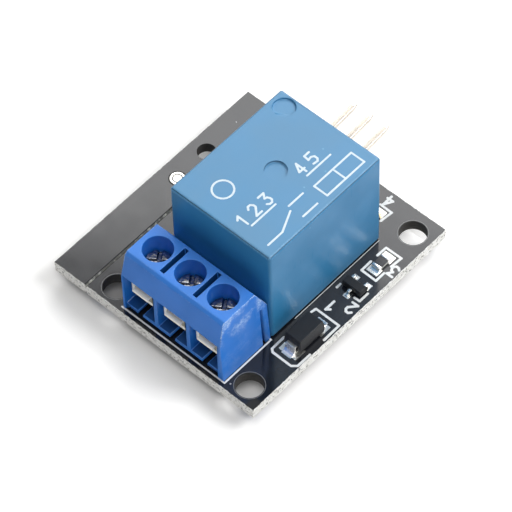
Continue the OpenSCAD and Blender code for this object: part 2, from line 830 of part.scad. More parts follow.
module moving_contact() {
    color([0.85, 0.85, 0.83])
    opened() translate([contact_pin_x, 0, 0]) {
        translate([0, 0, leaf_z - button_h]) cylinder(r = button_r, h = button_h);
        translate([0, 0, leaf_z - eps]) cylinder(r = shank_r, h = leaf_t + 2 * eps);
        translate([0, 0, leaf_z + leaf_t]) cylinder(r = button_r, h = button_h);
    }
}

// Strap behind the yoke, which carries the leaf's current down to the common pin
module common_terminal() {
    color([0.78, 0.60, 0.36])
    at_common_pin() {
        post(leaf_t, leaf_w, leg_z, hinge_z - 2 * touch_gap);
        post(leaf_t, contact_pin_w, -board_t - tail, leg_z + eps);
    }
}

// Upright and arm of a fixed contact, with its pin in the front row
module contact_frame(arm_z) {
    arm_past = 1;
    pin_out = (pin_spread + contact_pin_w) / 2;
    translate([contact_pin_x, -pin_spread / 2, 0])
        post(contact_pin_t, contact_pin_w, -board_t - tail, arm_z + eps);
    difference() {
        translate([contact_pin_x - arm_w / 2, -pin_out, arm_z]) cube([arm_w, pin_out + arm_past, arm_t]);
        translate([contact_pin_x, 0, arm_z - cut]) cylinder(r = button_r / 2, h = arm_t + 2 * cut);
    }
}

module open_terminal() {
    color([0.80, 0.62, 0.36]) at_relay() contact_frame(open_arm_z);
}

module closed_terminal() {
    color([0.80, 0.62, 0.36]) at_relay() mirror([0, 1, 0]) contact_frame(closed_arm_z);
}

// Button riveted through a fixed arm; z is its face end on the arm
module fixed_button(arm_z, face_up) {
    color([0.85, 0.85, 0.83])
    at_relay() translate([contact_pin_x, 0, 0]) {
        translate([0, 0, face_up ? arm_z + arm_t : arm_z - button_h])
            cylinder(r = button_r, h = button_h);
        translate([0, 0, arm_z - (face_up ? 0 : eps)])
            cylinder(r = shank_r, h = arm_t + eps);
    }
}

module open_contact() {
    fixed_button(open_arm_z, true);
}

module closed_contact() {
    fixed_button(closed_arm_z, false);
}

module coil_pins() {
    stub = 0.8;
    color([0.80, 0.80, 0.78])
    at_coil_pins() post(coil_pin, coil_pin, -board_t - tail, bobbin_z + flange_t + stub);
}

// ---------- header ----------

// Turns the header's outer part up by its lean, about the bend of the pins
module leaned() {
    on_board() translate([bend_x, header_cy, header_rise]) rotate([0, -header_lean, 0]) children();
}

insulator_x0 = header_pin / 2 + bend_gap;

module header_insulator() {
    groove = 0.5;
    color([0.06, 0.06, 0.07])
    leaned() difference() {
        translate([insulator_x0, -ways * header_pitch / 2, -insulator / 2])
            cube([insulator, ways * header_pitch, insulator]);
        // notches between the three cells, front and back
        for (x = [insulator_x0, insulator_x0 + insulator], y = [-1.5:1:1.5])
            translate([x, y * header_pitch, -insulator / 2 - cut]) rotate([0, 0, 45])
                translate([-groove / 2, -groove / 2, 0]) cube([groove, groove, insulator + 2 * cut]);
        for (i = [-1:1])
            translate([0, i * header_pitch, 0])
                bar(0, board_w, header_pin + 2 * pin_slack, -header_pin / 2 - pin_slack,
                    header_pin / 2 + pin_slack);
    }
}

module header_pin(i) {
    color([0.86, 0.72, 0.40]) {
        leaned() translate([0, (i - 1) * header_pitch, 0]) {
            bar(-header_pin / 4, insulator_x0 + insulator + header_reach - header_pin, header_pin,
                -header_pin / 2, header_pin / 2);
            // cut-off tip with a short taper
            translate([insulator_x0 + insulator + header_reach - header_pin, 0, 0])
                rotate([0, 90, 0]) drafted_block(header_pin, header_pin, header_pin, header_pin / 4);
        }
        on_board() translate([bend_x, header_y(i), 0])
            post(header_pin, header_pin, -board_t - tail, header_rise + header_pin / 4);
    }
}

// ---------- driver parts ----------

module at_diode() {
    on_board() translate([relay_x + diode_x, diode_y, 0]) children();
}

module at_transistor() {
    on_board() translate([relay_x + transistor_x, chip_row_y, 0]) children();
}

module at_resistor() {
    on_board() translate([relay_x + resistor_x, chip_row_y, 0]) children();
}

// Lamp is place 0, its resistor place 1
module at_lamp(place) {
    on_board() translate([lamp_cx, relay_y + lamp_y + place * lamp_pitch, 0]) children();
}

diode_belly = pad_t + diode_lead_t;

module diode_body() {
    draft = 0.16;
    mid = diode_h / 2;
    color([0.10, 0.10, 0.11])
    at_diode() difference() {
        union() {
            translate([0, 0, mid]) drafted_block(diode_len, diode_w, diode_h - mid + diode_belly, draft);
            translate([0, 0, mid]) mirror([0, 0, 1])
                drafted_block(diode_len, diode_w, mid - diode_belly, draft / 2);
        }
        diode_lead_pair(2 * pin_slack);
    }
}

// The two bent leads, with an optional clearance all round
module diode_lead_pair(slack) {
    out = diode_len / 2 + diode_lead_out;
    t = diode_lead_t;
    mid = diode_h / 2;
    foot = 1.2;
    root = diode_len / 2 - 0.5;
    for (side = [0, 180]) rotate([0, 0, side])
        profile([[out - foot - slack, pad_t], [out + slack, pad_t], [out + slack, mid + t + slack],
                 [root, mid + t + slack], [root, mid - slack],
                 [out - t - slack, mid - slack], [out - t - slack, diode_belly + slack],
                 [out - foot - slack, diode_belly + slack]], diode_lead_w + 2 * slack);
}

module diode_leads() {
    color([0.80, 0.80, 0.78])
    at_diode() diode_lead_pair(0);
}

// Lead directions of the transistor: two towards the header, one towards the terminals
module gull_places() {
    for (y = [-1, 1]) translate([gull_pad_half, y * gull_pitch / 2, 0]) children();
    translate([-gull_pad_half, 0, 0]) rotate([0, 0, 180]) children();
}

module transistor_body() {
    draft = 0.09;
    half = transistor_h / 2;
    color([0.11, 0.11, 0.12])
    at_transistor() translate([0, 0, pad_t + transistor_lift + half]) difference() {
        union() {
            drafted_block(transistor_w, transistor_len, half, draft);
            mirror([0, 0, 1]) drafted_block(transistor_w, transistor_len, half, draft);
        }
        translate([0, 0, -pad_t - transistor_lift - half]) gull_places() gull_lead(pin_slack);
    }
}

gull_foot = 0.3;
gull_root = 0.25;

// One gull-wing lead; the origin is under its foot, the body lies towards -X
module gull_lead(slack) {
    t = gull_t;
    z1 = pad_t + transistor_lift + transistor_h / 2 + t / 2;
    x0 = -gull_out - gull_root;
    foot = gull_foot;
    profile([[-foot / 2, pad_t], [foot, pad_t], [foot, pad_t + t], [-foot / 2 + t, pad_t + t],
             [-foot / 2 + t, z1 + slack], [x0, z1 + slack], [x0, z1 - t - slack],
             [-foot / 2, z1 - t - slack]], gull_w + 2 * slack);
}

module transistor_leads() {
    color([0.80, 0.80, 0.78])
    at_transistor() gull_places() gull_lead(0);
}

module chip_core(h, slack) {
    post(chip_len - 2 * cap_t + slack, chip_w - 2 * cap_t + slack, chip_z + cap_t - slack / 2,
         chip_z + h - cap_t + slack / 2);
}

// Metal caps that wrap the ends of a chip part
module chip_caps(h) {
    difference() {
        for (side = [-1, 1]) translate([side * (chip_len - cap_len) / 2, 0, 0])
            post(cap_len, chip_w, chip_z, chip_z + h);
        chip_core(h, 0);
    }
}

module resistor_body() {
    color([0.08, 0.08, 0.09])
    at_resistor() chip_core(chip_h, 0);
}

module resistor_caps() {
    color([0.82, 0.82, 0.80])
    at_resistor() chip_caps(chip_h);
}

module lamp_resistor_body() {
    color([0.08, 0.08, 0.09])
    at_lamp(1) chip_core(chip_h, 0);
}

module lamp_resistor_caps() {
    color([0.82, 0.82, 0.80])
    at_lamp(1) chip_caps(chip_h);
}

lamp_base_h = chip_h * 0.6;

module lamp_base() {
    color([0.94, 0.94, 0.92])
    at_lamp(0) chip_core(lamp_base_h, 0);
}

module lamp_caps() {
    color([0.86, 0.78, 0.52])
    at_lamp(0) chip_caps(lamp_base_h);
}

module lamp_lens() {
    color([0.90, 0.90, 0.86])
    at_lamp(0) translate([0, 0, chip_z + lamp_base_h - cap_t])
        drafted_block(chip_len - 2 * cap_len, chip_w, lens_h, 0.1);
}

// ---------- solder ----------

// Cone under the board around a lead of the given section
module solder_cone(hole_r, l, w) {
    difference() {
        translate([0, 0, -board_t - pad_t - solder_h])
            cylinder(r1 = half_diagonal(l, w) + lead_gap / 2, r2 = hole_r + ring_w * 0.9,
                     h = solder_h);
        post(l, w, -board_t - tail - cut, cut);
    }
}

module terminal_solder() {
    color([0.76, 0.77, 0.78])
    at_terminal_pins() solder_cone(terminal_hole_r, leg_t, pin_w);
}

module relay_solder() {
    color([0.76, 0.77, 0.78]) {
        at_contact_pins() solder_cone(contact_hole_r, contact_pin_t, contact_pin_w);
        at_coil_pins() solder_cone(coil_hole_r, coil_pin, coil_pin);
        at_common_pin() solder_cone(com_hole_r, leaf_t, contact_pin_w);
    }
}

module header_solder() {
    color([0.76, 0.77, 0.78])
    at_header_pins() solder_cone(header_hole_r, header_pin, header_pin);
}

// Wedge of solder against the end of a part; it rises towards -X
module fillet_wedge(l, w, h) {
    profile([[0, pad_t], [l, pad_t], [0, pad_t + h]], w);
}

module end_fillets(half, l, w, h) {
    for (side = [0, 180]) rotate([0, 0, side]) translate([half, 0, 0]) fillet_wedge(l, w, h);
}

module chip_solder() {
    run = 0.4;
    diode_run = 0.8;
    toe_run = 0.1;
    climb = 0.7;
    color([0.80, 0.81, 0.82]) {
        at_diode() end_fillets(diode_len / 2 + diode_lead_out, diode_run, diode_lead_w, diode_h / 3);
        at_resistor() end_fillets(chip_len / 2, run, chip_w, chip_h * climb);
        at_lamp(0) end_fillets(chip_len / 2, run, chip_w, lamp_base_h * climb);
        at_lamp(1) end_fillets(chip_len / 2, run, chip_w, chip_h * climb);
        at_transistor() gull_places() translate([gull_foot, 0, 0])
            fillet_wedge(toe_run, gull_w, gull_t);
    }
}

// ---------- nodes ----------

circuit_board();
board_pads();
terminal_housing();
current_bar(0);  // current_bar_1
current_bar(1);  // current_bar_2
current_bar(2);  // current_bar_3
clamp_cage(0);  // clamp_cage_1
clamp_cage(1);  // clamp_cage_2
clamp_cage(2);  // clamp_cage_3
clamp_screw(0);  // clamp_screw_1
clamp_screw(1);  // clamp_screw_2
clamp_screw(2);  // clamp_screw_3
relay_cover();
relay_base();
relay_bobbin();
relay_winding();
relay_core();
relay_yoke();
relay_armature();
contact_leaf();
moving_contact();
common_terminal();
open_terminal();
open_contact();
closed_terminal();
closed_contact();
coil_pins();
header_insulator();
header_pin(0);  // header_pin_1
header_pin(1);  // header_pin_2
header_pin(2);  // header_pin_3
diode_body();
diode_leads();
transistor_body();
transistor_leads();
resistor_body();
resistor_caps();
lamp_resistor_body();
lamp_resistor_caps();
lamp_base();
lamp_lens();
lamp_caps();
terminal_solder();
relay_solder();
header_solder();
chip_solder();
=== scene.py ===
"""Looks of a relay module board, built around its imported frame.

The frame holds every part at its real size and place, in metres. This script gives each
part its finish, rounds the edges that a mould or a press leaves round, and adds what is too
fine for the frame: printed marks, copper traces, screw threads and the shape of the solder.
"""

import logging
import math
from dataclasses import dataclass, field
from enum import Enum
from typing import Callable, Iterable, Optional, Sequence

import bmesh
import bpy
from mathutils import Matrix, Vector


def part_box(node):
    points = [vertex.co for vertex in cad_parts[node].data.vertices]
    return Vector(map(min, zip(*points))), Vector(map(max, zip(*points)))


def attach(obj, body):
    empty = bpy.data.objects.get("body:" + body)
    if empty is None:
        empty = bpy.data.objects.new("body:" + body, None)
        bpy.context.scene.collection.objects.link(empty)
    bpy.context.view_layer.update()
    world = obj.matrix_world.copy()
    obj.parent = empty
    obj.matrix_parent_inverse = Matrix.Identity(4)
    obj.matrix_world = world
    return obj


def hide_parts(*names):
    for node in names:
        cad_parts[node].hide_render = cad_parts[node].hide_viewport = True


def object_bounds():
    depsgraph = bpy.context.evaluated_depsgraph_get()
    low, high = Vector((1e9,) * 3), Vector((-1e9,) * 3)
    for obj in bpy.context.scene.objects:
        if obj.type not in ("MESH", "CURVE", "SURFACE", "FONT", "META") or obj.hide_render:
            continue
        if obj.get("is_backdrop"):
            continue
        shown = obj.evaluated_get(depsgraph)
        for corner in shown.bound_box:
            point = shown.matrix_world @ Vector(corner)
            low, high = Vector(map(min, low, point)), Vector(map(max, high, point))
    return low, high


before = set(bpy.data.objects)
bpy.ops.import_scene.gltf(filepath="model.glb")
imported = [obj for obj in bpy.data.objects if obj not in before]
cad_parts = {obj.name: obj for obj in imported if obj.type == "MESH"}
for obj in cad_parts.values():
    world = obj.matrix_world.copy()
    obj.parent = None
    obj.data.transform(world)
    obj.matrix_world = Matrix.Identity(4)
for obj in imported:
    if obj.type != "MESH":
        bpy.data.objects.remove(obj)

MM = 0.001
UP = Vector((0, 0, 1))
EDGE_MARK = "rounded_edge"
PAINTED_SHADE_MARK = "recess"
OUTLINE_SLACK = 0.05 * MM
WHITE = (1.0, 1.0, 1.0)
log = logging.getLogger("relay_board")

Color = tuple[float, float, float]
Point = tuple[float, float]
Socket = bpy.types.NodeSocket
Sockets = bpy.types.NodeOutputs
Group = bpy.types.NodeTree
Mesh = bmesh.types.BMesh


class Side(Enum):
    """A face of the circuit board, by the direction that it looks in."""

    UPPER = 1
    LOWER = -1


class Joint(Enum):
    """How the ends of a printed line are treated."""

    OPEN = "open"
    CLOSED = "closed"


# ---------------------------------------------------------------- node groups


@dataclass
class Tree:
    """A node tree with short calls to add and join its nodes.

    Attributes:
        nodes: the tree that nodes are added to.
    """

    nodes: Group

    def add(self, kind: str, inputs: Optional[dict] = None, **settings: object) -> bpy.types.Node:
        """Adds one node.

        Args:
            kind: the node's type name.
            inputs: values or sockets for its inputs, by name or number.
            settings: values for its own properties.

        Returns:
            The new node.
        """
        node = self.nodes.nodes.new(kind)
        for name, value in settings.items():
            setattr(node, name, value)
        for key, value in (inputs or {}).items():
            self.feed(node.inputs[key], value)
        return node

    def feed(self, socket: Socket, value: object) -> None:
        """Links an output to an input, or sets the input's own value.

        Args:
            socket: the input.
            value: an output socket, a number or a colour.
        """
        if isinstance(value, Socket):
            self.nodes.links.new(value, socket)
        elif isinstance(value, tuple) and len(value) == 3 and socket.type == "RGBA":
            socket.default_value = (*value, 1.0)
        else:
            socket.default_value = value

    def math(self, operation: str, *values: object) -> Socket:
        """Gives the result of a Math node, from its operation and its inputs in order."""
        return self.add("ShaderNodeMath", dict(enumerate(values)), operation=operation).outputs[0]

    def span(self, value: Socket, low: float, high: float, to: tuple[float, float] = (0.0, 1.0)) -> Socket:
        """Maps a value from the span of low to high to another one, with soft ends."""
        return self.add("ShaderNodeMapRange", {0: value, 1: low, 2: high, 3: to[0], 4: to[1]},
                        interpolation_type="SMOOTHSTEP").outputs[0]

    def mix(self, share: object, first: object, second: object) -> Socket:
        """Mixes two numbers, where the share is how much of the second shows, from 0 to 1."""
        return self.add("ShaderNodeMix", {0: share, 2: first, 3: second}).outputs[0]

    def blend(self, share: object, first: object, second: object) -> Socket:
        """Mixes two colours, where the share is how much of the second shows, from 0 to 1."""
        return self.add("ShaderNodeMix", {0: share, 6: first, 7: second}, data_type="RGBA").outputs[2]

    def times(self, *values: object) -> Socket:
        """Multiplies two or more values.

        Args:
            values: sockets or numbers.

        Returns:
            Their product.
        """
        product = values[0]
        for value in values[1:]:
            product = self.math("MULTIPLY", product, value)
        return product

    def below(self, value: Socket, limit: object) -> Socket:
        """Gives 1 where a value is less than a limit, and 0 elsewhere."""
        return self.math("LESS_THAN", value, limit)

    def between(self, value: Socket, low: float, high: float) -> Socket:
        """Gives 1 where a value lies between two limits, and 0 elsewhere."""
        return self.times(self.math("GREATER_THAN", value, low), self.below(value, high))

    def apart(self, value: Socket, middle: float) -> Socket:
        """Gives how far a value is from a middle."""
        return self.math("ABSOLUTE", self.math("SUBTRACT", value, middle))

    def drifting(self, drift: Socket, ends: tuple[float, float]) -> Socket:
        """Lets a value drift from one end to the other as a drift goes from 0 to 1."""
        return self.span(drift, 0.0, 1.0, ends)

    def noise(self, place: Socket, scale: object, detail: float) -> Socket:
        """Gives a noise of a scale and a depth of detail."""
        node = self.add("ShaderNodeTexNoise", {"Vector": place, "Scale": scale, "Detail": detail})
        return node.outputs["Fac"]

    def axes(self, vector: Socket) -> Sockets:
        """Gives the X, Y and Z of a vector."""
        return self.add("ShaderNodeSeparateXYZ", {0: vector}).outputs

    def facing(self) -> Sockets:
        """Gives the X, Y and Z of the surface's normal."""
        return self.axes(self.add("ShaderNodeNewGeometry").outputs["Normal"])

    def mark(self, name: str) -> Socket:
        """Gives a mark that the mesh's faces carry."""
        return self.add("ShaderNodeAttribute", attribute_name=name).outputs["Fac"]


def new_group(name: str, inputs: Sequence[str], outputs: Sequence[str]) -> tuple[Tree, dict, dict]:
    """Starts a shared effect, whose first input is the place.

    Args:
        name: the group's name.
        inputs: the names of its other inputs, which are numbers.
        outputs: the names of its outputs, which are numbers.

    Returns:
        The tree, its input sockets and its output sockets, by name.
    """
    nodes = bpy.data.node_groups.new(name, "ShaderNodeTree")
    nodes.interface.new_socket("Place", in_out="INPUT", socket_type="NodeSocketVector")
    for labels, side in ((inputs, "INPUT"), (outputs, "OUTPUT")):
        for label in labels:
            nodes.interface.new_socket(label, in_out=side, socket_type="NodeSocketFloat")
    tree = Tree(nodes)
    entry = tree.add("NodeGroupInput").outputs
    leave = tree.add("NodeGroupOutput").inputs
    return tree, {n: entry[n] for n in ("Place", *inputs)}, {n: leave[n] for n in outputs}


class Effects:
    """Surface effects that several finishes share, each built once as a node group."""

    def __init__(self) -> None:
        """Builds the groups."""
        self.grain = self.build_grain()
        self.specks = self.build_specks()
        self.scuffs = self.build_scuffs()
        self.fibres = self.build_fibres()
        self.rubbing = self.build_rubbing()

    def build_grain(self) -> Group:
        """Builds a fine mould or cast texture: a height, and a slow drift over the piece.

        Returns:
            The group's tree.
        """
        tree, given, out = new_group("grain", ("Fine", "Broad"), ("Height", "Drift"))
        tree.feed(out["Height"], tree.noise(given["Place"], given["Fine"], 3.0))
        tree.feed(out["Drift"], tree.span(tree.noise(given["Place"], given["Broad"], 2.0), 0.3, 0.7))
        return tree.nodes

    def build_specks(self) -> Group:
        """Builds sparse dust: small round specks, of which a share of the cells holds one.

        Returns:
            The group's tree.
        """
        tree, given, out = new_group("specks", ("Density", "Share", "Radius"), ("Mask",))
        cells = tree.add("ShaderNodeTexVoronoi", {"Vector": given["Place"], "Scale": given["Density"]})
        near = tree.below(cells.outputs["Distance"], given["Radius"])
        pick = tree.add("ShaderNodeSeparateColor", {0: cells.outputs["Color"]}).outputs[0]
        tree.feed(out["Mask"], tree.times(near, tree.below(pick, given["Share"])))
        return tree.nodes

    def build_scuffs(self) -> Group:
        """Builds faint handling marks: patches of short lines in one direction.

        Returns:
            The group's tree.
        """
        tree, given, out = new_group("scuffs", ("Scale", "Turn"), ("Mask",))
        turned = tree.add("ShaderNodeVectorRotate", {"Vector": given["Place"], "Angle": given["Turn"]},
                          rotation_type="Z_AXIS").outputs[0]
        drawn = tree.add("ShaderNodeMapping", {"Vector": turned, "Scale": (1.0, 14.0, 1.0)}).outputs[0]
        lines = tree.span(tree.noise(drawn, given["Scale"], 2.0), 0.60, 0.68)
        patches = tree.span(tree.noise(given["Place"], given["Scale"], 1.0), 0.50, 0.62)
        tree.feed(out["Mask"], tree.times(lines, patches))
        return tree.nodes

    def build_rubbing(self) -> Group:
        """Builds pale flecks where a rounded edge is rubbed, broken up along its length.

        Returns:
            The group's tree.
        """
        tree, given, out = new_group("rubbing", ("Edge", "Scale"), ("Mask",))
        flecks = tree.noise(given["Place"], given["Scale"], 5.0)
        patches = tree.noise(given["Place"], tree.times(given["Scale"], 0.07), 2.0)
        tree.feed(out["Mask"], tree.times(tree.span(flecks, 0.44, 0.64, (0.10, 1.0)),
                                          tree.span(patches, 0.38, 0.56, (0.12, 1.0)), given["Edge"]))
        return tree.nodes

    def build_fibres(self) -> Group:
        """Builds cut glass-fibre laminate: layers along the edge, pale strands and dark pits.

        Returns:
            The group's tree.
        """
        tree, given, out = new_group("fibres", (), ("Layer", "Pits", "Height"))
        drawn = tree.add("ShaderNodeMapping", {"Vector": given["Place"], "Scale": (1.0, 1.0, 6.0)})
        strands = tree.noise(drawn.outputs[0], 1500.0, 4.0)
        tree.feed(out["Layer"], tree.span(strands, 0.36, 0.62))
        tree.feed(out["Pits"], tree.span(tree.noise(given["Place"], 3400.0, 4.0), 0.57, 0.65))
        tree.feed(out["Height"], strands)
        return tree.nodes


# ---------------------------------------------------------------- finishes


def scaled(color: Color, share: float) -> Color:
    """Scales the three parts of a colour."""
    return tuple(part * share for part in color)


class Surface:
    """A material while a finish adds its nodes.

    Attributes:
        effects: the shared surface effects.
        material: the material.
        tree: its node tree.
        shader: its Principled shader.
        place: the Object coordinates.
    """

    def __init__(self, name: str, effects: Effects) -> None:
        """Starts the material.

        Args:
            name: its name.
            effects: the shared surface effects.
        """
        self.effects = effects
        self.material = bpy.data.materials.new(name)
        self.material.use_nodes = True
        self.tree = Tree(self.material.node_tree)
        self.shader = self.material.node_tree.nodes["Principled BSDF"]
        self.place = self.tree.add("ShaderNodeTexCoord").outputs["Object"]

    def set(self, inputs: dict[str, object]) -> None:
        """Sets the shader's inputs, by name."""
        for name, value in inputs.items():
            self.tree.feed(self.shader.inputs[name], value)

    def effect(self, kind: Group, **inputs: object) -> Sockets:
        """Adds a shared effect and gives its outputs, from its inputs apart from the place."""
        return self.tree.add("ShaderNodeGroup", {"Place": self.place, **inputs}, node_tree=kind).outputs

    def relief(self, height: Socket, depth: float, strength: float = 1.0) -> None:
        """Feeds a height to the shader's normal.

        Args:
            height: the height, from 0 to 1.
            depth: what a height of 1 measures, in metres.
            strength: the share of it that shows.
        """
        bump = self.tree.add("ShaderNodeBump", {"Height": height, "Distance": depth, "Strength": strength})
        self.set({"Normal": bump.outputs[0]})


@dataclass(frozen=True)
class Finish:
    """A surface finish, which builds one material.

    Attributes:
        name: the material's name.
        slot: the record's material slot that it stands for, where that has another name.
    """

    name: str
    slot: str = field(default="", kw_only=True)

    def material(self, effects: Effects) -> bpy.types.Material:
        """Builds the material.

        Args:
            effects: the shared surface effects.

        Returns:
            The material.
        """
        on = Surface(self.name, effects)
        self.paint(on)
        return on.material

    def paint(self, on: Surface) -> None:
        """Adds the nodes to a started material; each kind of finish has its own."""
        raise NotImplementedError


@dataclass(frozen=True)
class Moulded(Finish):
    """Injection-moulded plastic or epoxy, with grain, drift of shade, scuffs and dust, and where set,
    painted sheen, painted shade and a painted highlight.

    Attributes:
        color: its colour.
        rough: its roughness at the two ends of the drift.
        shade: how dark it is at the dark end of the drift.
        fine: the scale of its grain.
        broad: the scale of its drift.
        depth: the depth of its grain, in metres.
        dust: the share of the dust's cells that hold a speck.
        dust_color: the colour of the dust.
        wear: how strongly its rounded edges are rubbed, from 0 to 1.
        wear_and_highlight_color: the colour of what is rubbed, and of the painted highlight on the near end.
        specular: its specular level.
        dust_and_sheen: how strongly a pale film of painted sheen and settled dust shows on its upper faces,
            from 0 to 1.
        sheen_haze: the colour of that film of painted sheen and dust.
        recess: how strongly painted shade darkens its narrow recesses, from 0 to 1.
        end_highlight: how strongly a mottled painted highlight shows on its near end, from 0 to 1.
        end_highlight_from: the height at which the painted highlight begins, in metres.
        end_highlight_y: the Y below which it lies, in metres.
    """

    color: Color
    rough: tuple[float, float]
    shade: float = 0.85
    fine: float = 9000.0
    broad: float = 160.0
    depth: float = 2.0e-6
    dust: float = 0.04
    dust_color: Color = (0.75, 0.78, 0.80)
    wear: float = 0.0
    wear_and_highlight_color: Color = (0.35, 0.55, 0.90)
    specular: float = 0.5
    dust_and_sheen: float = 0.0
    sheen_haze: Color = (0.66, 0.78, 0.80)
    recess: float = 0.0
    end_highlight: float = 0.0
    end_highlight_from: float = 0.0
    end_highlight_y: float = 0.0

    def paint(self, on: Surface) -> None:
        """Adds the plastic's nodes.

        Args:
            on: the started material.
        """
        tree = on.tree
        grain = on.effect(on.effects.grain, Fine=self.fine, Broad=self.broad)
        drift = grain["Drift"]
        body = tree.blend(drift, self.color, scaled(self.color, self.shade))
        specks = on.effect(on.effects.specks, Density=900.0, Share=self.dust, Radius=0.10)[0]
        body = tree.blend(specks, body, self.dust_color)
        # Painted sheen, with some settled dust: a pale film lightens the faces that look upwards.
        if self.dust_and_sheen:
            film = tree.span(tree.facing()["Z"], 0.3, 0.9, (0.0, self.dust_and_sheen))
            body = tree.blend(tree.times(film, tree.drifting(drift, (0.75, 1.0))), body, self.sheen_haze)
        # Painted shade: faces marked as lying in narrow recesses get a much darker copy of the colour.
        if self.recess:
            in_painted_shade = tree.times(tree.mark(PAINTED_SHADE_MARK), self.recess)
            body = tree.blend(in_painted_shade, body, scaled(self.color, 0.22))
        # Painted highlight: pale mottled patches on the upper part of the near end.
        if self.end_highlight:
            body = tree.blend(self.end_highlight_patches(on), body, self.wear_and_highlight_color)
        rubbed = on.effect(on.effects.rubbing, Edge=tree.mark(EDGE_MARK), Scale=6500.0)[0]
        scuffs = on.effect(on.effects.scuffs, Scale=420.0, Turn=0.6)[0]
        rough = tree.drifting(drift, self.rough)
        on.set({"Base Color": tree.blend(tree.times(rubbed, self.wear), body, self.wear_and_highlight_color),
                "Roughness": tree.math("MULTIPLY_ADD", scuffs, 0.10, rough),
                "Specular IOR Level": self.specular})
        on.relief(grain["Height"], self.depth)

    def end_highlight_patches(self, on: Surface) -> Socket:
        """Masks the pale, mottled patches of painted highlight on the upper part of the near end.

        Args:
            on: the started material.

        Returns:
            The mask, which is faint below the level at which the patches begin.
        """
        tree = on.tree
        axes = tree.axes(on.place)
        patch = tree.times(tree.span(tree.noise(on.place, 520.0, 3.0), 0.42, 0.62),
                           tree.span(tree.noise(on.place, 4200.0, 4.0), 0.40, 0.62, (0.30, 1.0)))
        rising = tree.span(axes["Z"], self.end_highlight_from, self.end_highlight_from + 3.0 * MM, (0.12, 1.0))
        at_end = tree.times(tree.below(tree.facing()["Y"], -0.7), tree.below(axes["Y"], self.end_highlight_y))
        return tree.times(patch, rising, tree.times(at_end, self.end_highlight))


@dataclass(frozen=True)
class Metal(Finish):
    """Plated or bare metal, with a drift of tone, fine rolling marks and a little tarnish.

    Attributes:
        color: its colour.
        rough: its roughness at the two ends of the drift.
        tarnish: the colour that it drifts to.
        tarnish_share: how far it drifts, from 0 to 1.
        fine: the scale of its rolling marks.
        depth: the depth of those marks, in metres.
        metallic: its metallic value, which is below 1 where dull tin scatters light.
    """

    color: Color
    rough: tuple[float, float]
    tarnish: Color = (0.35, 0.33, 0.30)
    tarnish_share: float = 0.25
    fine: float = 3500.0
    depth: float = 3.0e-6
    metallic: float = 1.0

    def paint(self, on: Surface) -> None:
        """Adds the metal's nodes.

        Args:
            on: the started material.
        """
        tree = on.tree
        grain = on.effect(on.effects.grain, Fine=self.fine, Broad=700.0)
        drift = grain["Drift"]
        scuffs = on.effect(on.effects.scuffs, Scale=900.0, Turn=0.2)[0]
        share = tree.times(drift, self.tarnish_share)
        on.set({"Base Color": tree.blend(share, self.color, self.tarnish),
                "Roughness": tree.math("MULTIPLY_ADD", scuffs, 0.15, tree.drifting(drift, self.rough)),
                "Metallic": self.metallic})
        on.relief(grain["Height"], self.depth)


@dataclass(frozen=True)
class Ink(Finish):
    """Printed ink: an even colour that thins out in places.

    Attributes:
        color: its colour.
        under: what shows through where it is thin.
        worn: how far it thins out, from 0 to 1.
        rough: its roughness.
    """

    color: Color
    under: Color
    worn: float = 0.25
    rough: float = 0.5

    def paint(self, on: Surface) -> None:
        """Adds the ink's nodes.

        Args:
            on: the started material.
        """
        grain = on.effect(on.effects.grain, Fine=6000.0, Broad=2200.0)
        share = on.tree.times(grain["Drift"], self.worn)
        on.set({"Base Color": on.tree.blend(share, self.color, self.under), "Roughness": self.rough})
        on.relief(grain["Height"], 4.0e-6)


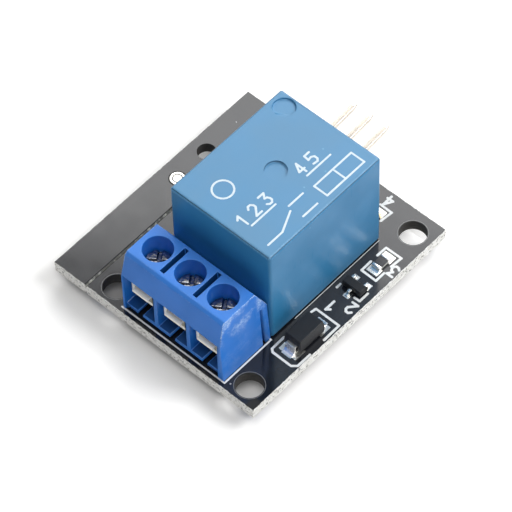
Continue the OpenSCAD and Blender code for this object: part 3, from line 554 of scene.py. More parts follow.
@dataclass(frozen=True)
class MaskedLaminate(Finish):
    """Glossy black solder mask over glass-fibre laminate, which shows at every cut edge.

    Attributes:
        half: half of the mounting-hole pattern in X and Y.
        ring: inner and outer radius of the thin bare line around a mounting hole.
        score_y: where the break-off groove runs.
        score_half: half the width of the groove.
        middle: middle of the board in X and Y.
        reach: half of the board's length and width.
        dot: the middle of the alignment dot in X and Y.
        dot_clear: radius of the clearing in the mask around the dot.
        mask: the colour of the mask.
        glass: the colour of the glass fibres.
        resin: the colour of the resin between them.
        wall: the colour of a drilled hole's wall, painted dark as shade.
        pit: the colour of the pits in a cut edge.
        dust_color: the colour of dust on the mask.
        groove_tones: the groove's colour at its middle and rim, painted dark as shade, on its slopes, in
            painted light, and in its flecks.
    """

    half: Point
    ring: Point
    score_y: float
    score_half: float
    middle: Point
    reach: Point
    dot: Point
    dot_clear: float
    mask: Color = (0.009, 0.010, 0.013)
    glass: Color = (0.96, 0.96, 0.94)
    resin: Color = (0.70, 0.69, 0.65)
    wall: Color = (0.030, 0.029, 0.027)
    pit: Color = (0.06, 0.06, 0.06)
    dust_color: Color = (0.35, 0.36, 0.38)
    groove_tones: tuple[Color, Color, Color] = ((0.022, 0.022, 0.020), (0.26, 0.26, 0.235),
                                                (0.80, 0.80, 0.74))

    def off_hole(self, tree: Tree, axes: Sockets) -> Socket:
        """Gives the distance from the axis of the nearest of the four mounting holes."""
        dx, dy = (tree.math("SUBTRACT", tree.math("ABSOLUTE", axes[k]), self.half[k]) for k in range(2))
        return tree.math("SQRT", tree.math("ADD", tree.times(dx, dx), tree.times(dy, dy)))

    def inside(self, tree: Tree, axes: Sockets) -> Socket:
        """Gives 1 away from the board's outline, where cut faces are the walls of holes."""
        return tree.times(*(tree.below(tree.apart(axes[k], self.middle[k]), self.reach[k] - OUTLINE_SLACK)
                            for k in range(2)))

    def near_rim(self, tree: Tree, axes: Sockets, ragged: Socket) -> Socket:
        """Masks the ragged line where the mask has chipped along the board's outline.

        Args:
            tree: the material's tree.
            axes: the Object coordinates.
            ragged: the noise that sets how wide the chips are.

        Returns:
            The mask.
        """
        width = tree.span(ragged, 0.35, 0.75, (0.0, 0.055 * MM))
        left = (tree.math("SUBTRACT", self.reach[k], tree.apart(axes[k], self.middle[k])) for k in range(2))
        return tree.math("MAXIMUM", *(tree.below(gap, width) for gap in left))

    def groove(self, on: Surface, off_score: Socket) -> Socket:
        """Colours the break-off groove: slopes in painted light with pale flecks, and a middle painted dark
        as shade.

        Args:
            on: the started material.
            off_score: the distance from the groove's middle.

        Returns:
            The colour.
        """
        middle, slope, fleck = self.groove_tones
        # Painted light and shade: grey slopes as if they caught light, and a dark middle and rim.
        painted_lit = on.tree.between(off_score, self.score_half * 0.15, self.score_half * 0.72)
        dashes = on.tree.span(on.tree.noise(on.place, 1900.0, 4.0), 0.54, 0.60)
        return on.tree.blend(on.tree.times(painted_lit, dashes), on.tree.blend(painted_lit, middle, slope), fleck)

    def cleared(self, on: Surface, up: Socket) -> Socket:
        """Masks the clearing around the alignment dot, on the upper face only.

        Args:
            on: the started material.
            up: the Z of the surface's normal.

        Returns:
            The mask.
        """
        vector = "ShaderNodeVectorMath"
        off = on.tree.add(vector, {0: on.place, 1: (*self.dot, 0.0)}, operation="SUBTRACT").outputs[0]
        flat = on.tree.add(vector, {0: off, 1: (1.0, 1.0, 0.0)}, operation="MULTIPLY").outputs[0]
        length = on.tree.add(vector, {0: flat}, operation="LENGTH").outputs["Value"]
        return on.tree.times(on.tree.math("GREATER_THAN", up, 0.5), on.tree.below(length, self.dot_clear))

    def paint(self, on: Surface) -> None:
        """Adds the board's nodes.

        Args:
            on: the started material.
        """
        tree = on.tree
        axes, normal = tree.axes(on.place), tree.facing()
        fibres = on.effect(on.effects.fibres)
        grain = on.effect(on.effects.grain, Fine=5200.0, Broad=240.0)
        dust = on.effect(on.effects.specks, Density=700.0, Share=0.05, Radius=0.08)[0]
        within = self.inside(tree, axes)
        off_score = tree.apart(axes["Y"], self.score_y)
        in_score = tree.times(within, tree.below(off_score, self.score_half))
        upright = tree.below(tree.math("ABSOLUTE", normal["Z"]), 0.5)
        bare = tree.math("MAXIMUM", upright, in_score)
        bare = tree.math("MAXIMUM", bare, self.near_rim(tree, axes, fibres["Height"]))
        ring = tree.between(self.off_hole(tree, axes), *self.ring)
        cleared = self.cleared(on, normal["Z"])

        glass = tree.blend(fibres["Layer"], self.resin, self.glass)
        glass = tree.blend(tree.times(fibres["Pits"], 0.70), glass, self.pit)
        # Painted shade: the walls of drilled holes are painted near-black.
        hole_wall_shade = tree.blend(fibres["Layer"], self.wall, scaled(self.wall, 1.8))
        glass = tree.blend(within, glass, hole_wall_shade)
        glass = tree.blend(in_score, glass, self.groove(on, off_score))
        mask = tree.blend(grain["Drift"], self.mask, scaled(self.mask, 1.4))
        mask = tree.blend(dust, mask, self.dust_color)
        mask = tree.blend(cleared, mask, self.wall)
        mask = tree.blend(tree.times(ring, 0.16), mask, self.glass)

        gloss = tree.math("MULTIPLY_ADD", ring, 0.25, tree.drifting(grain["Drift"], (0.08, 0.13)))
        gloss = tree.math("MAXIMUM", gloss, tree.times(cleared, 0.8))
        smooth = tree.times(grain["Height"], 0.03)
        on.set({"Base Color": tree.blend(bare, mask, glass),
                "Roughness": tree.mix(bare, gloss, 0.80), "IOR": 1.50})
        on.relief(tree.mix(bare, smooth, fibres["Height"]), 60.0e-6, 0.6)


@dataclass(frozen=True)
class ClearEpoxy(Finish):
    """Milky, slightly clear epoxy of a lamp's lens.

    Attributes:
        color: its colour.
    """

    color: Color

    def paint(self, on: Surface) -> None:
        """Adds the epoxy's nodes.

        Args:
            on: the started material.
        """
        grain = on.effect(on.effects.grain, Fine=5000.0, Broad=1500.0)
        on.set({"Base Color": on.tree.blend(grain["Drift"], self.color, scaled(self.color, 0.9)),
                "Roughness": 0.2, "Transmission Weight": 0.45, "IOR": 1.5})
        on.relief(grain["Height"], 2.0e-6)


@dataclass(frozen=True)
class Glazed(Finish):
    """A chip resistor's body: black glaze over a white ceramic that shows at its sides.

    Attributes:
        glaze: the colour of the glaze.
        ceramic: the colour of the ceramic.
        top: the height above which it is glazed, in metres.
    """

    glaze: Color
    ceramic: Color
    top: float

    def paint(self, on: Surface) -> None:
        """Adds the nodes of the glazed ceramic.

        Args:
            on: the started material.
        """
        tree = on.tree
        grain = on.effect(on.effects.grain, Fine=7000.0, Broad=1800.0)
        glazed = tree.math("GREATER_THAN", tree.axes(on.place)["Z"], self.top)
        dark = tree.blend(grain["Drift"], self.glaze, scaled(self.glaze, 1.8))
        on.set({"Base Color": tree.blend(glazed, self.ceramic, dark),
                "Roughness": tree.drifting(grain["Drift"], (0.30, 0.42))})
        on.relief(grain["Height"], 6.0e-6)


@dataclass(frozen=True)
class WoundWire(Finish):
    """Fine enamelled wire wound around an upright bobbin, with painted shade between the turns.

    Attributes:
        color: its colour.
        gauge: the thickness of the wire, in metres.
    """

    color: Color
    gauge: float = 0.12 * MM

    def paint(self, on: Surface) -> None:
        """Adds the winding's nodes.

        Args:
            on: the started material.
        """
        tree = on.tree
        grain = on.effect(on.effects.grain, Fine=3000.0, Broad=900.0)
        # Painted shade: the colour darkens between the turns of wire.
        wave = tree.math("SINE", tree.times(tree.axes(on.place)["Z"], 2 * math.pi / self.gauge))
        turns = tree.math("MULTIPLY_ADD", wave, 0.5, 0.5)
        painted_shade = scaled(self.color, 0.45)
        on.set({"Base Color": tree.blend(turns, painted_shade, tree.blend(grain["Drift"], self.color, painted_shade)),
                "Roughness": tree.drifting(grain["Drift"], (0.25, 0.4)), "Metallic": 0.85})
        on.relief(turns, self.gauge / 3)


FINISHES: tuple[Finish, ...] = (
    Metal("tinned_copper", (0.78, 0.77, 0.73), (0.22, 0.38)),
    Moulded("terminal_blue", (0.018, 0.200, 0.72), (0.34, 0.44), shade=0.86, depth=3.0e-6, dust=0.05,
            wear=1.0, wear_and_highlight_color=(0.62, 0.80, 1.0), specular=0.35, dust_and_sheen=0.06, recess=0.85,
            end_highlight=0.62, end_highlight_from=7.2 * MM, end_highlight_y=-6.5 * MM),
    Metal("bar_tin", (0.97, 0.95, 0.88), (0.50, 0.60), tarnish_share=0.06, metallic=0.35),
    Metal("cage_steel", (0.93, 0.92, 0.86), (0.45, 0.55), tarnish_share=0.12),
    Metal("screw_steel", (0.36, 0.37, 0.39), (0.05, 0.10), tarnish=(0.04, 0.04, 0.045),
          tarnish_share=0.6, fine=2600.0, depth=95.0e-6),
    Moulded("relay_blue", (0.032, 0.215, 0.44), (0.30, 0.40), shade=0.90, depth=1.5e-6, dust=0.02,
            dust_color=(0.09, 0.31, 0.52), wear=0.25, wear_and_highlight_color=(0.30, 0.52, 0.74), specular=0.35,
            dust_and_sheen=0.13, recess=0.6),
    Moulded("relay_base_blue", (0.030, 0.115, 0.26), (0.40, 0.50)),
    Moulded("bobbin_plastic", (0.72, 0.68, 0.58), (0.35, 0.45)),
    WoundWire("copper_wire", (0.62, 0.24, 0.09)),
    Metal("soft_iron", (0.46, 0.45, 0.43), (0.30, 0.45)),
    Metal("spring_bronze", (0.66, 0.42, 0.22), (0.20, 0.30)),
    Metal("contact_silver", (0.86, 0.85, 0.82), (0.16, 0.28)),
    Metal("contact_brass", (0.72, 0.54, 0.26), (0.24, 0.36)),
    Metal("lead_tin", (0.74, 0.74, 0.72), (0.22, 0.36)),
    Moulded("header_black", (0.013, 0.013, 0.014), (0.38, 0.48)),
    Metal("pin_gold", (0.80, 0.74, 0.66), (0.16, 0.26), tarnish=(0.52, 0.44, 0.34), tarnish_share=0.4),
    Moulded("diode_black", (0.010, 0.011, 0.014), (0.42, 0.55), fine=14000.0, depth=5.0e-6, dust=0.05,
            specular=0.35),
    Moulded("transistor_black", (0.011, 0.012, 0.014), (0.38, 0.50), fine=14000.0, depth=5.0e-6,
            specular=0.35),
    Moulded("lamp_ceramic", (0.78, 0.78, 0.74), (0.45, 0.55)),
    ClearEpoxy("lamp_clear", (0.86, 0.86, 0.76)),
    Metal("lamp_gilt", (0.86, 0.66, 0.34), (0.20, 0.32)),
    Metal("solder", (0.80, 0.80, 0.80), (0.14, 0.30), depth=5.0e-6),
    Ink("board_print", (0.80, 0.81, 0.80), (0.45, 0.46, 0.46), slot="board"),
    Ink("relay_print", (0.68, 0.77, 0.82), (0.35, 0.50, 0.66), slot="relay_blue"),
)


# ---------------------------------------------------------------- meshes


def merged(node: str) -> Mesh:
    """Copies a frame node's mesh with its doubles merged and its flat faces joined.

    Args:
        node: the node's name.

    Returns:
        The copy.
    """
    bm = bmesh.new()
    bm.from_mesh(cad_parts[node].data)
    bmesh.ops.remove_doubles(bm, verts=bm.verts, dist=2e-6)
    bmesh.ops.dissolve_limit(bm, angle_limit=math.radians(0.5), verts=bm.verts, edges=bm.edges)
    return bm


@dataclass(frozen=True)
class Easing:
    """How a piece's edges are rounded, as a mould or a press leaves them.

    Attributes:
        radius: the rounding, in millimetres.
        segments: the faces across it.
        least_angle: the least angle between an edge's faces, in degrees, for it to be rounded.
        chosen: says of an edge whether it is rounded.
        rubbed: gives the wear of a rounded edge at a place, from 0 to 1.
        in_painted_shade: says of a face whether it lies in one of the narrow recesses, which get painted
            shade.
    """

    radius: float
    segments: int = 2
    least_angle: float = 35.0
    chosen: Callable[[bmesh.types.BMEdge], bool] = lambda edge: True
    rubbed: Callable[[Vector], float] = lambda place: 1.0
    in_painted_shade: Callable[[bmesh.types.BMFace], bool] = lambda face: False

    def apply(self, bm: Mesh) -> None:
        """Rounds a mesh's edges, and marks the rounded faces and the faces that get painted shade.

        Args:
            bm: the mesh.
        """
        worn = bm.faces.layers.float.new(EDGE_MARK)
        # This layer marks the faces that get painted shade.
        painted_shade = bm.faces.layers.float.new(PAINTED_SHADE_MARK)
        for face in bm.faces:
            face[painted_shade] = float(self.in_painted_shade(face))
        edges = [e for e in bm.edges if e.is_manifold and self.chosen(e)
                 and e.calc_face_angle(0.0) > math.radians(self.least_angle)]
        made = bmesh.ops.bevel(bm, geom=edges, offset=self.radius * MM, offset_type="OFFSET",
                               segments=self.segments, profile=0.5, affect="EDGES",
                               clamp_overlap=False, material=-1)
        for face in made["faces"]:
            face[worn] = self.rubbed(face.calc_center_median())
            face[painted_shade] = 0.0


def islands(bm: Mesh) -> list[tuple[Vector, Vector]]:
    """Finds the boxes of a mesh's loose parts.

    Args:
        bm: the mesh.

    Returns:
        The lowest and highest corner of each part, in order of X, then Y.
    """
    left = set(bm.verts)
    boxes = []
    while left:
        front = [left.pop()]
        part = list(front)
        while front:
            vert = front.pop()
            for edge in vert.link_edges:
                other = edge.other_vert(vert)
                if other in left:
                    left.remove(other)
                    front.append(other)
                    part.append(other)
        low = Vector([min(v.co[k] for v in part) for k in range(3)])
        high = Vector([max(v.co[k] for v in part) for k in range(3)])
        boxes.append((low, high))
    return sorted(boxes, key=lambda b: (round(b[0].x, 5), round(b[0].y, 5)))


def parts_of(node: str) -> list[tuple[Vector, Vector]]:
    """Finds the boxes of a node's separate parts.

    Args:
        node: the node's name.

    Returns:
        The lowest and highest corner of each part, in order of X, then Y.
    """
    bm = merged(node)
    found = islands(bm)
    bm.free()
    return found


def extrude(bm: Mesh, face: bmesh.types.BMFace, way: Vector) -> None:
    """Makes a prism of a flat face.

    Args:
        bm: the mesh that it is in.
        face: the face.
        way: how far its copy moves.
    """
    made = bmesh.ops.extrude_face_region(bm, geom=[face])["geom"]
    bmesh.ops.translate(bm, verts=[g for g in made if isinstance(g, bmesh.types.BMVert)], vec=way)


def add_stroke(bm: Mesh, start: Vector, end: Vector, width: float, thickness: float) -> None:
    """Adds a flat line with round ends, which stands on the level of its points.

    Args:
        bm: the mesh that it goes into.
        start: its first point.
        end: its last point.
        width: its width.
        thickness: how far it rises, or sinks if below 0.
    """
    along = end - start
    turn = Matrix.Rotation(math.atan2(along.y, along.x), 4, "Z")
    made = bmesh.ops.create_circle(bm, cap_ends=True, segments=14, radius=width / 2,
                                   matrix=Matrix.Translation(start) @ turn)
    face = made["verts"][0].link_faces[0]
    ahead = [v for v in made["verts"] if (v.co - start).dot(along) > 0.1 * width * along.length]
    bmesh.ops.translate(bm, verts=ahead, vec=along)
    extrude(bm, face, UP * thickness)


def add_cone(bm: Mesh, low: Vector, high: Vector, tip: float, side: Side) -> None:
    """Adds a solder joint: a lathe-shaped cone with a hollow flank, in a given box.

    Args:
        bm: the mesh that it goes into.
        low: the box's lowest corner.
        high: the box's highest corner.
        tip: the radius at its tip.
        side: the face of the board that it stands on.
    """
    foot = (high.x - low.x) / 2
    height = high.z - low.z
    middle = (low + high) / 2
    base_z = low.z if side is Side.UPPER else high.z
    steps = 7
    verts = []
    for step in range(steps + 1):
        share = step / steps
        radius = tip + (foot - tip) * (1 - share) ** 2.2
        verts.append(bm.verts.new((middle.x + radius, middle.y, base_z + side.value * height * share)))
    first = bm.verts.new((middle.x, middle.y, base_z))
    last = bm.verts.new((middle.x, middle.y, base_z + side.value * height))
    line = [first, *verts, last]
    edges = [bm.edges.new(pair) for pair in zip(line, line[1:])]
    stretch = (high.y - low.y) / (high.x - low.x)
    bmesh.ops.spin(bm, geom=line + edges, cent=middle, axis=UP, angle=2 * math.pi, steps=28,
                   use_merge=True)
    if abs(stretch - 1) > 0.02:
        ring = [v for v in bm.verts if (v.co.xy - middle.xy).length < foot * 1.01]
        bmesh.ops.scale(bm, verts=ring, vec=(1, stretch, 1), space=Matrix.Translation(-middle))


def add_fillet(bm: Mesh, low: Vector, high: Vector, axis: int, rising: bool) -> None:
    """Adds a solder fillet: a wedge with a hollow slope that fills a given box.

    Args:
        bm: the mesh that it goes into.
        low: the box's lowest corner.
        high: the box's highest corner.
        axis: 0 where it rises along X, 1 where it rises along Y.
        rising: whether its tall side lies at the box's high end.
    """
    steps = 8
    across = 1 - axis
    verts = []
    for step in range(steps + 1):
        share = step / steps
        place = low.copy()
        run = share if rising else 1 - share
        place[axis] = low[axis] + (high[axis] - low[axis]) * run
        place.z = low.z + (high.z - low.z) * (1 - math.sqrt(1 - share * share))
        verts.append(bm.verts.new(place))
    foot = verts[-1].co.copy()
    foot.z = low.z
    verts.append(bm.verts.new(foot))
    far = Vector((0, 0, 0))
    far[across] = high[across] - low[across]
    extrude(bm, bm.faces.new(verts), far)


def close_shell(bm: Mesh) -> None:
    """Merges a spun shape's seam and turns its faces outwards."""
    bmesh.ops.remove_doubles(bm, verts=bm.verts, dist=1e-6)
    bmesh.ops.recalc_face_normals(bm, faces=bm.faces)


def add_object(name: str, data: bpy.types.ID) -> bpy.types.Object:
    """Adds an object to the scene.

    Args:
        name: its name.
        data: its mesh, lamp or camera.

    Returns:
        The object.
    """
    obj = bpy.data.objects.new(name, data)
    bpy.context.scene.collection.objects.link(obj)
    return obj


@dataclass
class Bench:
    """What every sub-assembly works with.

    Attributes:
        effects: the shared surface effects.
        corner: the board's near corner, at the level of its upper face.
        ready: materials that are already built, by name.
        slots: the record's material slot of each of them, by name.
    """

    effects: Effects
    corner: Vector
    ready: dict[str, bpy.types.Material] = field(default_factory=dict)
    slots: dict[str, str] = field(default_factory=dict)

    def at(self, x: float, y: float, z: float = 0.0) -> Vector:
        """Turns millimetres from the board's near upper corner into a point of the frame."""
        return self.corner + Vector((x, y, z)) * MM

    def learn(self, finish: Finish) -> None:
        """Builds a finish's material, ready for use."""
        self.ready[finish.name] = finish.material(self.effects)
        self.slots[finish.name] = finish.slot or finish.name

    def dress(self, finish: str, nodes: Iterable[str]) -> None:
        """Gives frame nodes that stay as they are a finish.

        Args:
            finish: the finish's name.
            nodes: the nodes.
        """
        for node in nodes:
            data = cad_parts[node].data
            data.materials.clear()
            data.materials.append(self.ready[finish])

    def piece(self, name: str, bm: Mesh, finish: str, body: str = "root",
              replaces: Sequence[str] = (), crease: float = 50.0) -> bpy.types.Object:
        """Makes a finished piece from a mesh.

        Args:
            name: the piece's name.
            bm: its mesh, which is used up.
            finish: its finish.
            body: the body that it moves with.
            replaces: the frame nodes that it stands for.
            crease: the least angle of an edge that stays sharp, in degrees.

        Returns:
            The piece.
        """
        mesh = bpy.data.meshes.new(name)
        bm.to_mesh(mesh)
        bm.free()
        mesh.materials.append(self.ready[finish])
        mesh.shade_smooth()
        mesh.set_sharp_from_angle(angle=math.radians(crease))
        obj = add_object(name, mesh)
        level = obj.modifiers.new("level_faces", "WEIGHTED_NORMAL")
        level.keep_sharp = True
        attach(obj, body)
        if replaces:
            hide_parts(*replaces)
        log.info("%s: %d faces, on %s", name, len(mesh.polygons), body)
        return obj

    def eased(self, name: str, node: str, finish: str, easing: Easing,
              body: str = "root") -> bpy.types.Object:
        """Makes a piece that is a frame node with its edges rounded, and hides the node.

        Args:
            name: the piece's name.
            node: the node that it stands for.
            finish: its finish.
            easing: how its edges are rounded.
            body: the body that it moves with.

        Returns:
            The piece.
        """
        bm = merged(node)
        easing.apply(bm)
        return self.piece(name, bm, finish, body, (node,))


# ---------------------------------------------------------------- printed lines


NUMERALS: dict[int, tuple[tuple[Point, ...], ...]] = {
    1: (((0.1, 1.5), (0.6, 2), (0.6, 0)),),
    2: (((0, 1.6), (0.3, 2), (0.7, 2), (1, 1.6), (1, 1.2), (0, 0), (1, 0)),),
    3: (((0, 2), (1, 2), (0.45, 1.2), (0.8, 1.1), (1, 0.7), (1, 0.35), (0.7, 0), (0.3, 0), (0, 0.3)),),
    4: (((0.75, 0), (0.75, 2), (0, 0.6), (1, 0.6)),),
    5: (((1, 2), (0.1, 2), (0, 1.1), (0.6, 1.2), (1, 0.9), (1, 0.35), (0.7, 0), (0, 0.1)),),
}


@dataclass
class Print:
    """Lines and plain numbers printed on a flat face.

    Attributes:
        bench: the bench.
        level: the height of the face over the board, in millimetres.
        line: the usual line width, in millimetres.
        film: the thickness of the ink, in millimetres.
        bm: the mesh of the lines drawn so far.
        strokes: how many strokes it holds.
        step: how much thinner each stroke is than the one before, as a share of the film, so
            that two that meet don't share a face.
        cycle: after how many strokes the film is full again.
    """

    bench: Bench
    level: float
    line: float = 0.30
    film: float = 0.02
    bm: Mesh = field(default_factory=bmesh.new)
    strokes: int = 0
    step: float = 0.05
    cycle: int = 7

    def draw(self, points: Sequence[Point], joint: Joint = Joint.OPEN, line: Optional[float] = None) -> None:
        """Draws one line.

        Args:
            points: its points, in millimetres on the board.
            joint: whether its last point is joined to its first.
            line: its width, where it isn't the usual one.
        """
        path = list(points) + ([points[0]] if joint is Joint.CLOSED else [])
        for first, last in zip(path, path[1:]):
            start = self.bench.at(*first, self.level)
            end = self.bench.at(*last, self.level)
            film = self.film * (1.0 - self.step * (self.strokes % self.cycle))
            self.strokes += 1
            add_stroke(self.bm, start, end, (line or self.line) * MM, film * MM)

    def number(self, value: int, place: Point, height: float, turn: float, line: float) -> None:
        """Draws a plain number.

        Args:
            value: a number from 1 to 5.
            place: its middle.
            height: its height, in millimetres.
            turn: the direction that it reads in, in degrees from +X.
            line: its line width.
        """
        spin = Matrix.Rotation(math.radians(turn), 2)
        for stroke in NUMERALS[value]:
            points = []
            for x, y in stroke:
                off = spin @ Vector(((x - 0.5) * height * 0.55, (y - 1.0) * height / 2))
                points.append((place[0] + off.x, place[1] + off.y))
            self.draw(points, line=line)

    def finish(self, name: str, finish: str) -> bpy.types.Object:
        """Turns what was drawn into a piece."""
        bmesh.ops.recalc_face_normals(self.bm, faces=self.bm.faces)
        return self.bench.piece(name, self.bm, finish, crease=15.0)


# ---------------------------------------------------------------- sub-assemblies


@dataclass
class Board:
    """The circuit board: masked laminate, pads, printed outlines and the copper beneath.

    Lengths are in millimetres, and places are measured from the board's near upper corner.

    Attributes:
        bench: the bench.
        score_y: where the break-off groove runs.
        score_w: the groove's width.
        mounts: half of the mounting-hole pattern in X and Y.
        ring_d: inner and outer diameter of the thin bare line around a mounting hole.
        dot: the middle of the alignment dot.
        dot_clear: radius of the clearing in the mask around the dot.
        trace_t: how far a trace raises the mask.
        trace_step: how much more each stroke of a trace raises it than the one before, so that
            two that meet don't share a face.
    """

    bench: Bench
    score_y: float = 26.5
    score_w: float = 0.45
    mounts: Point = (14.4, 10.5)
    ring_d: Point = (3.62, 3.78)
    dot: Point = (18.6, 29.05)
    dot_clear: float = 1.12
    trace_t: float = 0.03
    trace_step: float = 1.03

    def laminate(self) -> None:
        """Dresses the board itself."""
        low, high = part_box("circuit_board")
        middle, reach = (low + high) / 2, (high - low) / 2
        self.bench.learn(MaskedLaminate(
            "board", half=(self.mounts[0] * MM, self.mounts[1] * MM),
            ring=(self.ring_d[0] / 2 * MM, self.ring_d[1] / 2 * MM),
            score_y=self.bench.at(0, self.score_y).y, score_half=self.score_w / 2 * MM,
            middle=(middle.x, middle.y), reach=(reach.x, reach.y),
            dot=tuple(self.bench.at(*self.dot).xy), dot_clear=self.dot_clear * MM))
        self.bench.dress("board", ["circuit_board"])
        self.bench.dress("tinned_copper", ["board_pads"])

    def outlines(self) -> None:
        """Prints the outlines of the parts, and a plain number beside each small one."""
        ink = Print(self.bench, 0.0, line=0.32)
        ink.draw(((0.62, 21.2), (0.62, 4.98), (8.63, 4.98), (8.63, 5.9)), line=0.22)
        ink.draw(((12.7, 4.90), (27.6, 4.90)), line=0.08)
        for points in (
            ((9.86, 4.10), (7.78, 4.07), (7.46, 3.69), (7.43, 0.82), (7.94, 0.24), (10.03, 0.22)),
            ((12.67, 0.35), (15.31, 0.39), (15.33, 3.97), (14.65, 4.09)),
            ((19.48, 1.64), (19.50, 0.87), (20.94, 0.86)), ((19.25, 4.18), (19.85, 4.18)),
            ((24.66, 3.63), (23.00, 3.62), (22.95, 1.35), (24.41, 1.35)),
            ((25.84, 3.63), (27.35, 3.58), (27.37, 1.22), (25.69, 1.35)),
            ((29.90, 6.62), (31.66, 6.44), (31.71, 8.24)),
            ((28.60, 12.7), (29.6, 12.7)), ((28.60, 20.8), (29.6, 20.8)),
        ):
            ink.draw(points)
        for value, place in ((1, (16.75, 3.0)), (2, (18.1, 0.95)), (3, (25.35, 0.70)), (4, (32.7, 7.8))):
            ink.number(value, place, 1.5, 90.0, 0.34)
        ink.finish("board_outlines", "board_print")

    def traces(self) -> None:
        """Raises the mask over the copper that joins the leads beneath the board."""
        runs = (
            (2.4, ((5.6, 18.4), (11.2, 18.7))),
            (2.4, ((5.6, 13.3), (16.0, 12.9), (25.4, 12.9))),
            (2.4, ((5.6, 8.3), (11.2, 6.7))),
            (0.6, ((23.4, 6.7), (23.4, 4.2), (15.2, 4.2), (13.9, 2.3))),
            (0.6, ((23.4, 18.7), (27.2, 18.7), (30.0, 19.2))),
            (0.4, ((30.0, 16.7), (26.6, 16.7), (26.6, 4.4), (25.2, 2.5))),
            (0.4, ((30.0, 14.2), (28.2, 12.4), (28.2, 5.0), (22.0, 1.3))),
        )
        bm = bmesh.new()
        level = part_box("circuit_board")[0].z
        drop = self.trace_t * MM
        for width, points in runs:
            places = [self.bench.at(x, y) for x, y in points]
            for start, end in zip(places, places[1:]):
                start.z = end.z = level
                add_stroke(bm, start, end, width * MM, -drop)
                drop *= self.trace_step
        bmesh.ops.recalc_face_normals(bm, faces=bm.faces)
        self.bench.piece("lower_traces", bm, "board", crease=15.0)

    def build(self) -> None:
        """Builds the board's pieces."""
        self.laminate()
        self.outlines()
        self.traces()


@dataclass
class TerminalBlock:
    """The three-way clamp terminal: its housing, current bars, cages and screws.

    Attributes:
        bench: the bench.
        ways: how many wires it takes.
        edge: rounding of the housing's moulded edges, in millimetres.
        shank: radius of a screw's shank, in millimetres.
        crest: how far its thread stands out from the shank, in millimetres.
        thread_pitch: pitch of that thread, in millimetres.
    """

    bench: Bench
    ways: int = 3
    edge: float = 0.10
    shank: float = 1.18
    crest: float = 0.10
    thread_pitch: float = 0.45

    def housing(self) -> None:
        """Rounds the housing's outer edges and the rims of its openings, and marks its slots and floors for
        painted shade.
        """
        low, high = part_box("terminal_housing")
        foot = low.z + 0.6 * MM
        shelf = low.z + 1.5 * MM
        knee = high.z - 3.2 * MM
        wall = Vector((1.4, 1.0, 0.0)) * MM
        narrow, wide = 0.5 * MM, 4.5 * MM

        def rubbed(place: Vector) -> float:
            """Gives the wear of an edge, which is greatest at the two ends of the block."""
            off_end = min(place.y - low.y, high.y - place.y)
            return 1.0 if off_end < 0.75 * MM else 0.10

        def in_painted_shade(face: bmesh.types.BMFace) -> bool:
            """Says whether a face gets painted shade: a wall of a slot between two ways, or a way's floor.

            Args:
                face: the face.

            Returns:
                Whether it is one.
            """
            place = face.calc_center_median()
            if face.normal.z > 0.9:
                return foot < place.z < shelf
            within = all(low[k] + wall[k] < place[k] < high[k] - wall[k] for k in range(2))
            flat = max(abs(face.normal.x), abs(face.normal.y)) > 0.999
            across = max((a.co - b.co).xy.length for a in face.verts for b in face.verts)
            return within and flat and place.z > knee and narrow < across < wide

        self.bench.eased("terminal_shell", "terminal_housing", "terminal_blue", Easing(
            self.edge, 3, 20.0, lambda edge: min(v.co.z for v in edge.verts) > foot, rubbed, in_painted_shade))

    def clamps(self) -> None:
        """Builds what clamps each wire."""
        for way in range(1, self.ways + 1):
            self.bench.eased(f"clamp_bar_{way}", f"current_bar_{way}", "bar_tin", Easing(0.08))
            self.bench.eased(f"cage_{way}_frame", f"clamp_cage_{way}", "cage_steel", Easing(0.06),
                             f"cage_{way}")
            self.screw(way)

    def screw(self, way: int) -> None:
        """Rounds a screw's head and cuts the look of its thread.

        Args:
            way: the number of its way.
        """
        node = f"clamp_screw_{way}"
        low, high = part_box(node)
        self.bench.eased(f"screw_{way}_head", node, "screw_steel", Easing(0.12, 3), f"screw_{way}")
        pitch = self.thread_pitch * MM
        shank = self.shank * MM
        start = low.z + 0.35 * MM
        turns = int((high.z - low.z - 1.6 * MM) / pitch)
        middle = (low + high) / 2
        bm = bmesh.new()
        for turn in range(max(turns, 1)):
            place = Matrix.Translation((middle.x, middle.y, start + turn * pitch))
            bmesh.ops.create_cone(bm, cap_ends=True, segments=32, radius1=shank,
                                  radius2=shank + self.crest * MM, depth=pitch / 2, matrix=place)
        self.bench.piece(f"screw_{way}_thread", bm, "screw_steel", f"screw_{way}")

    def build(self) -> None:
        """Builds the terminal's pieces."""
        self.housing()
        self.clamps()


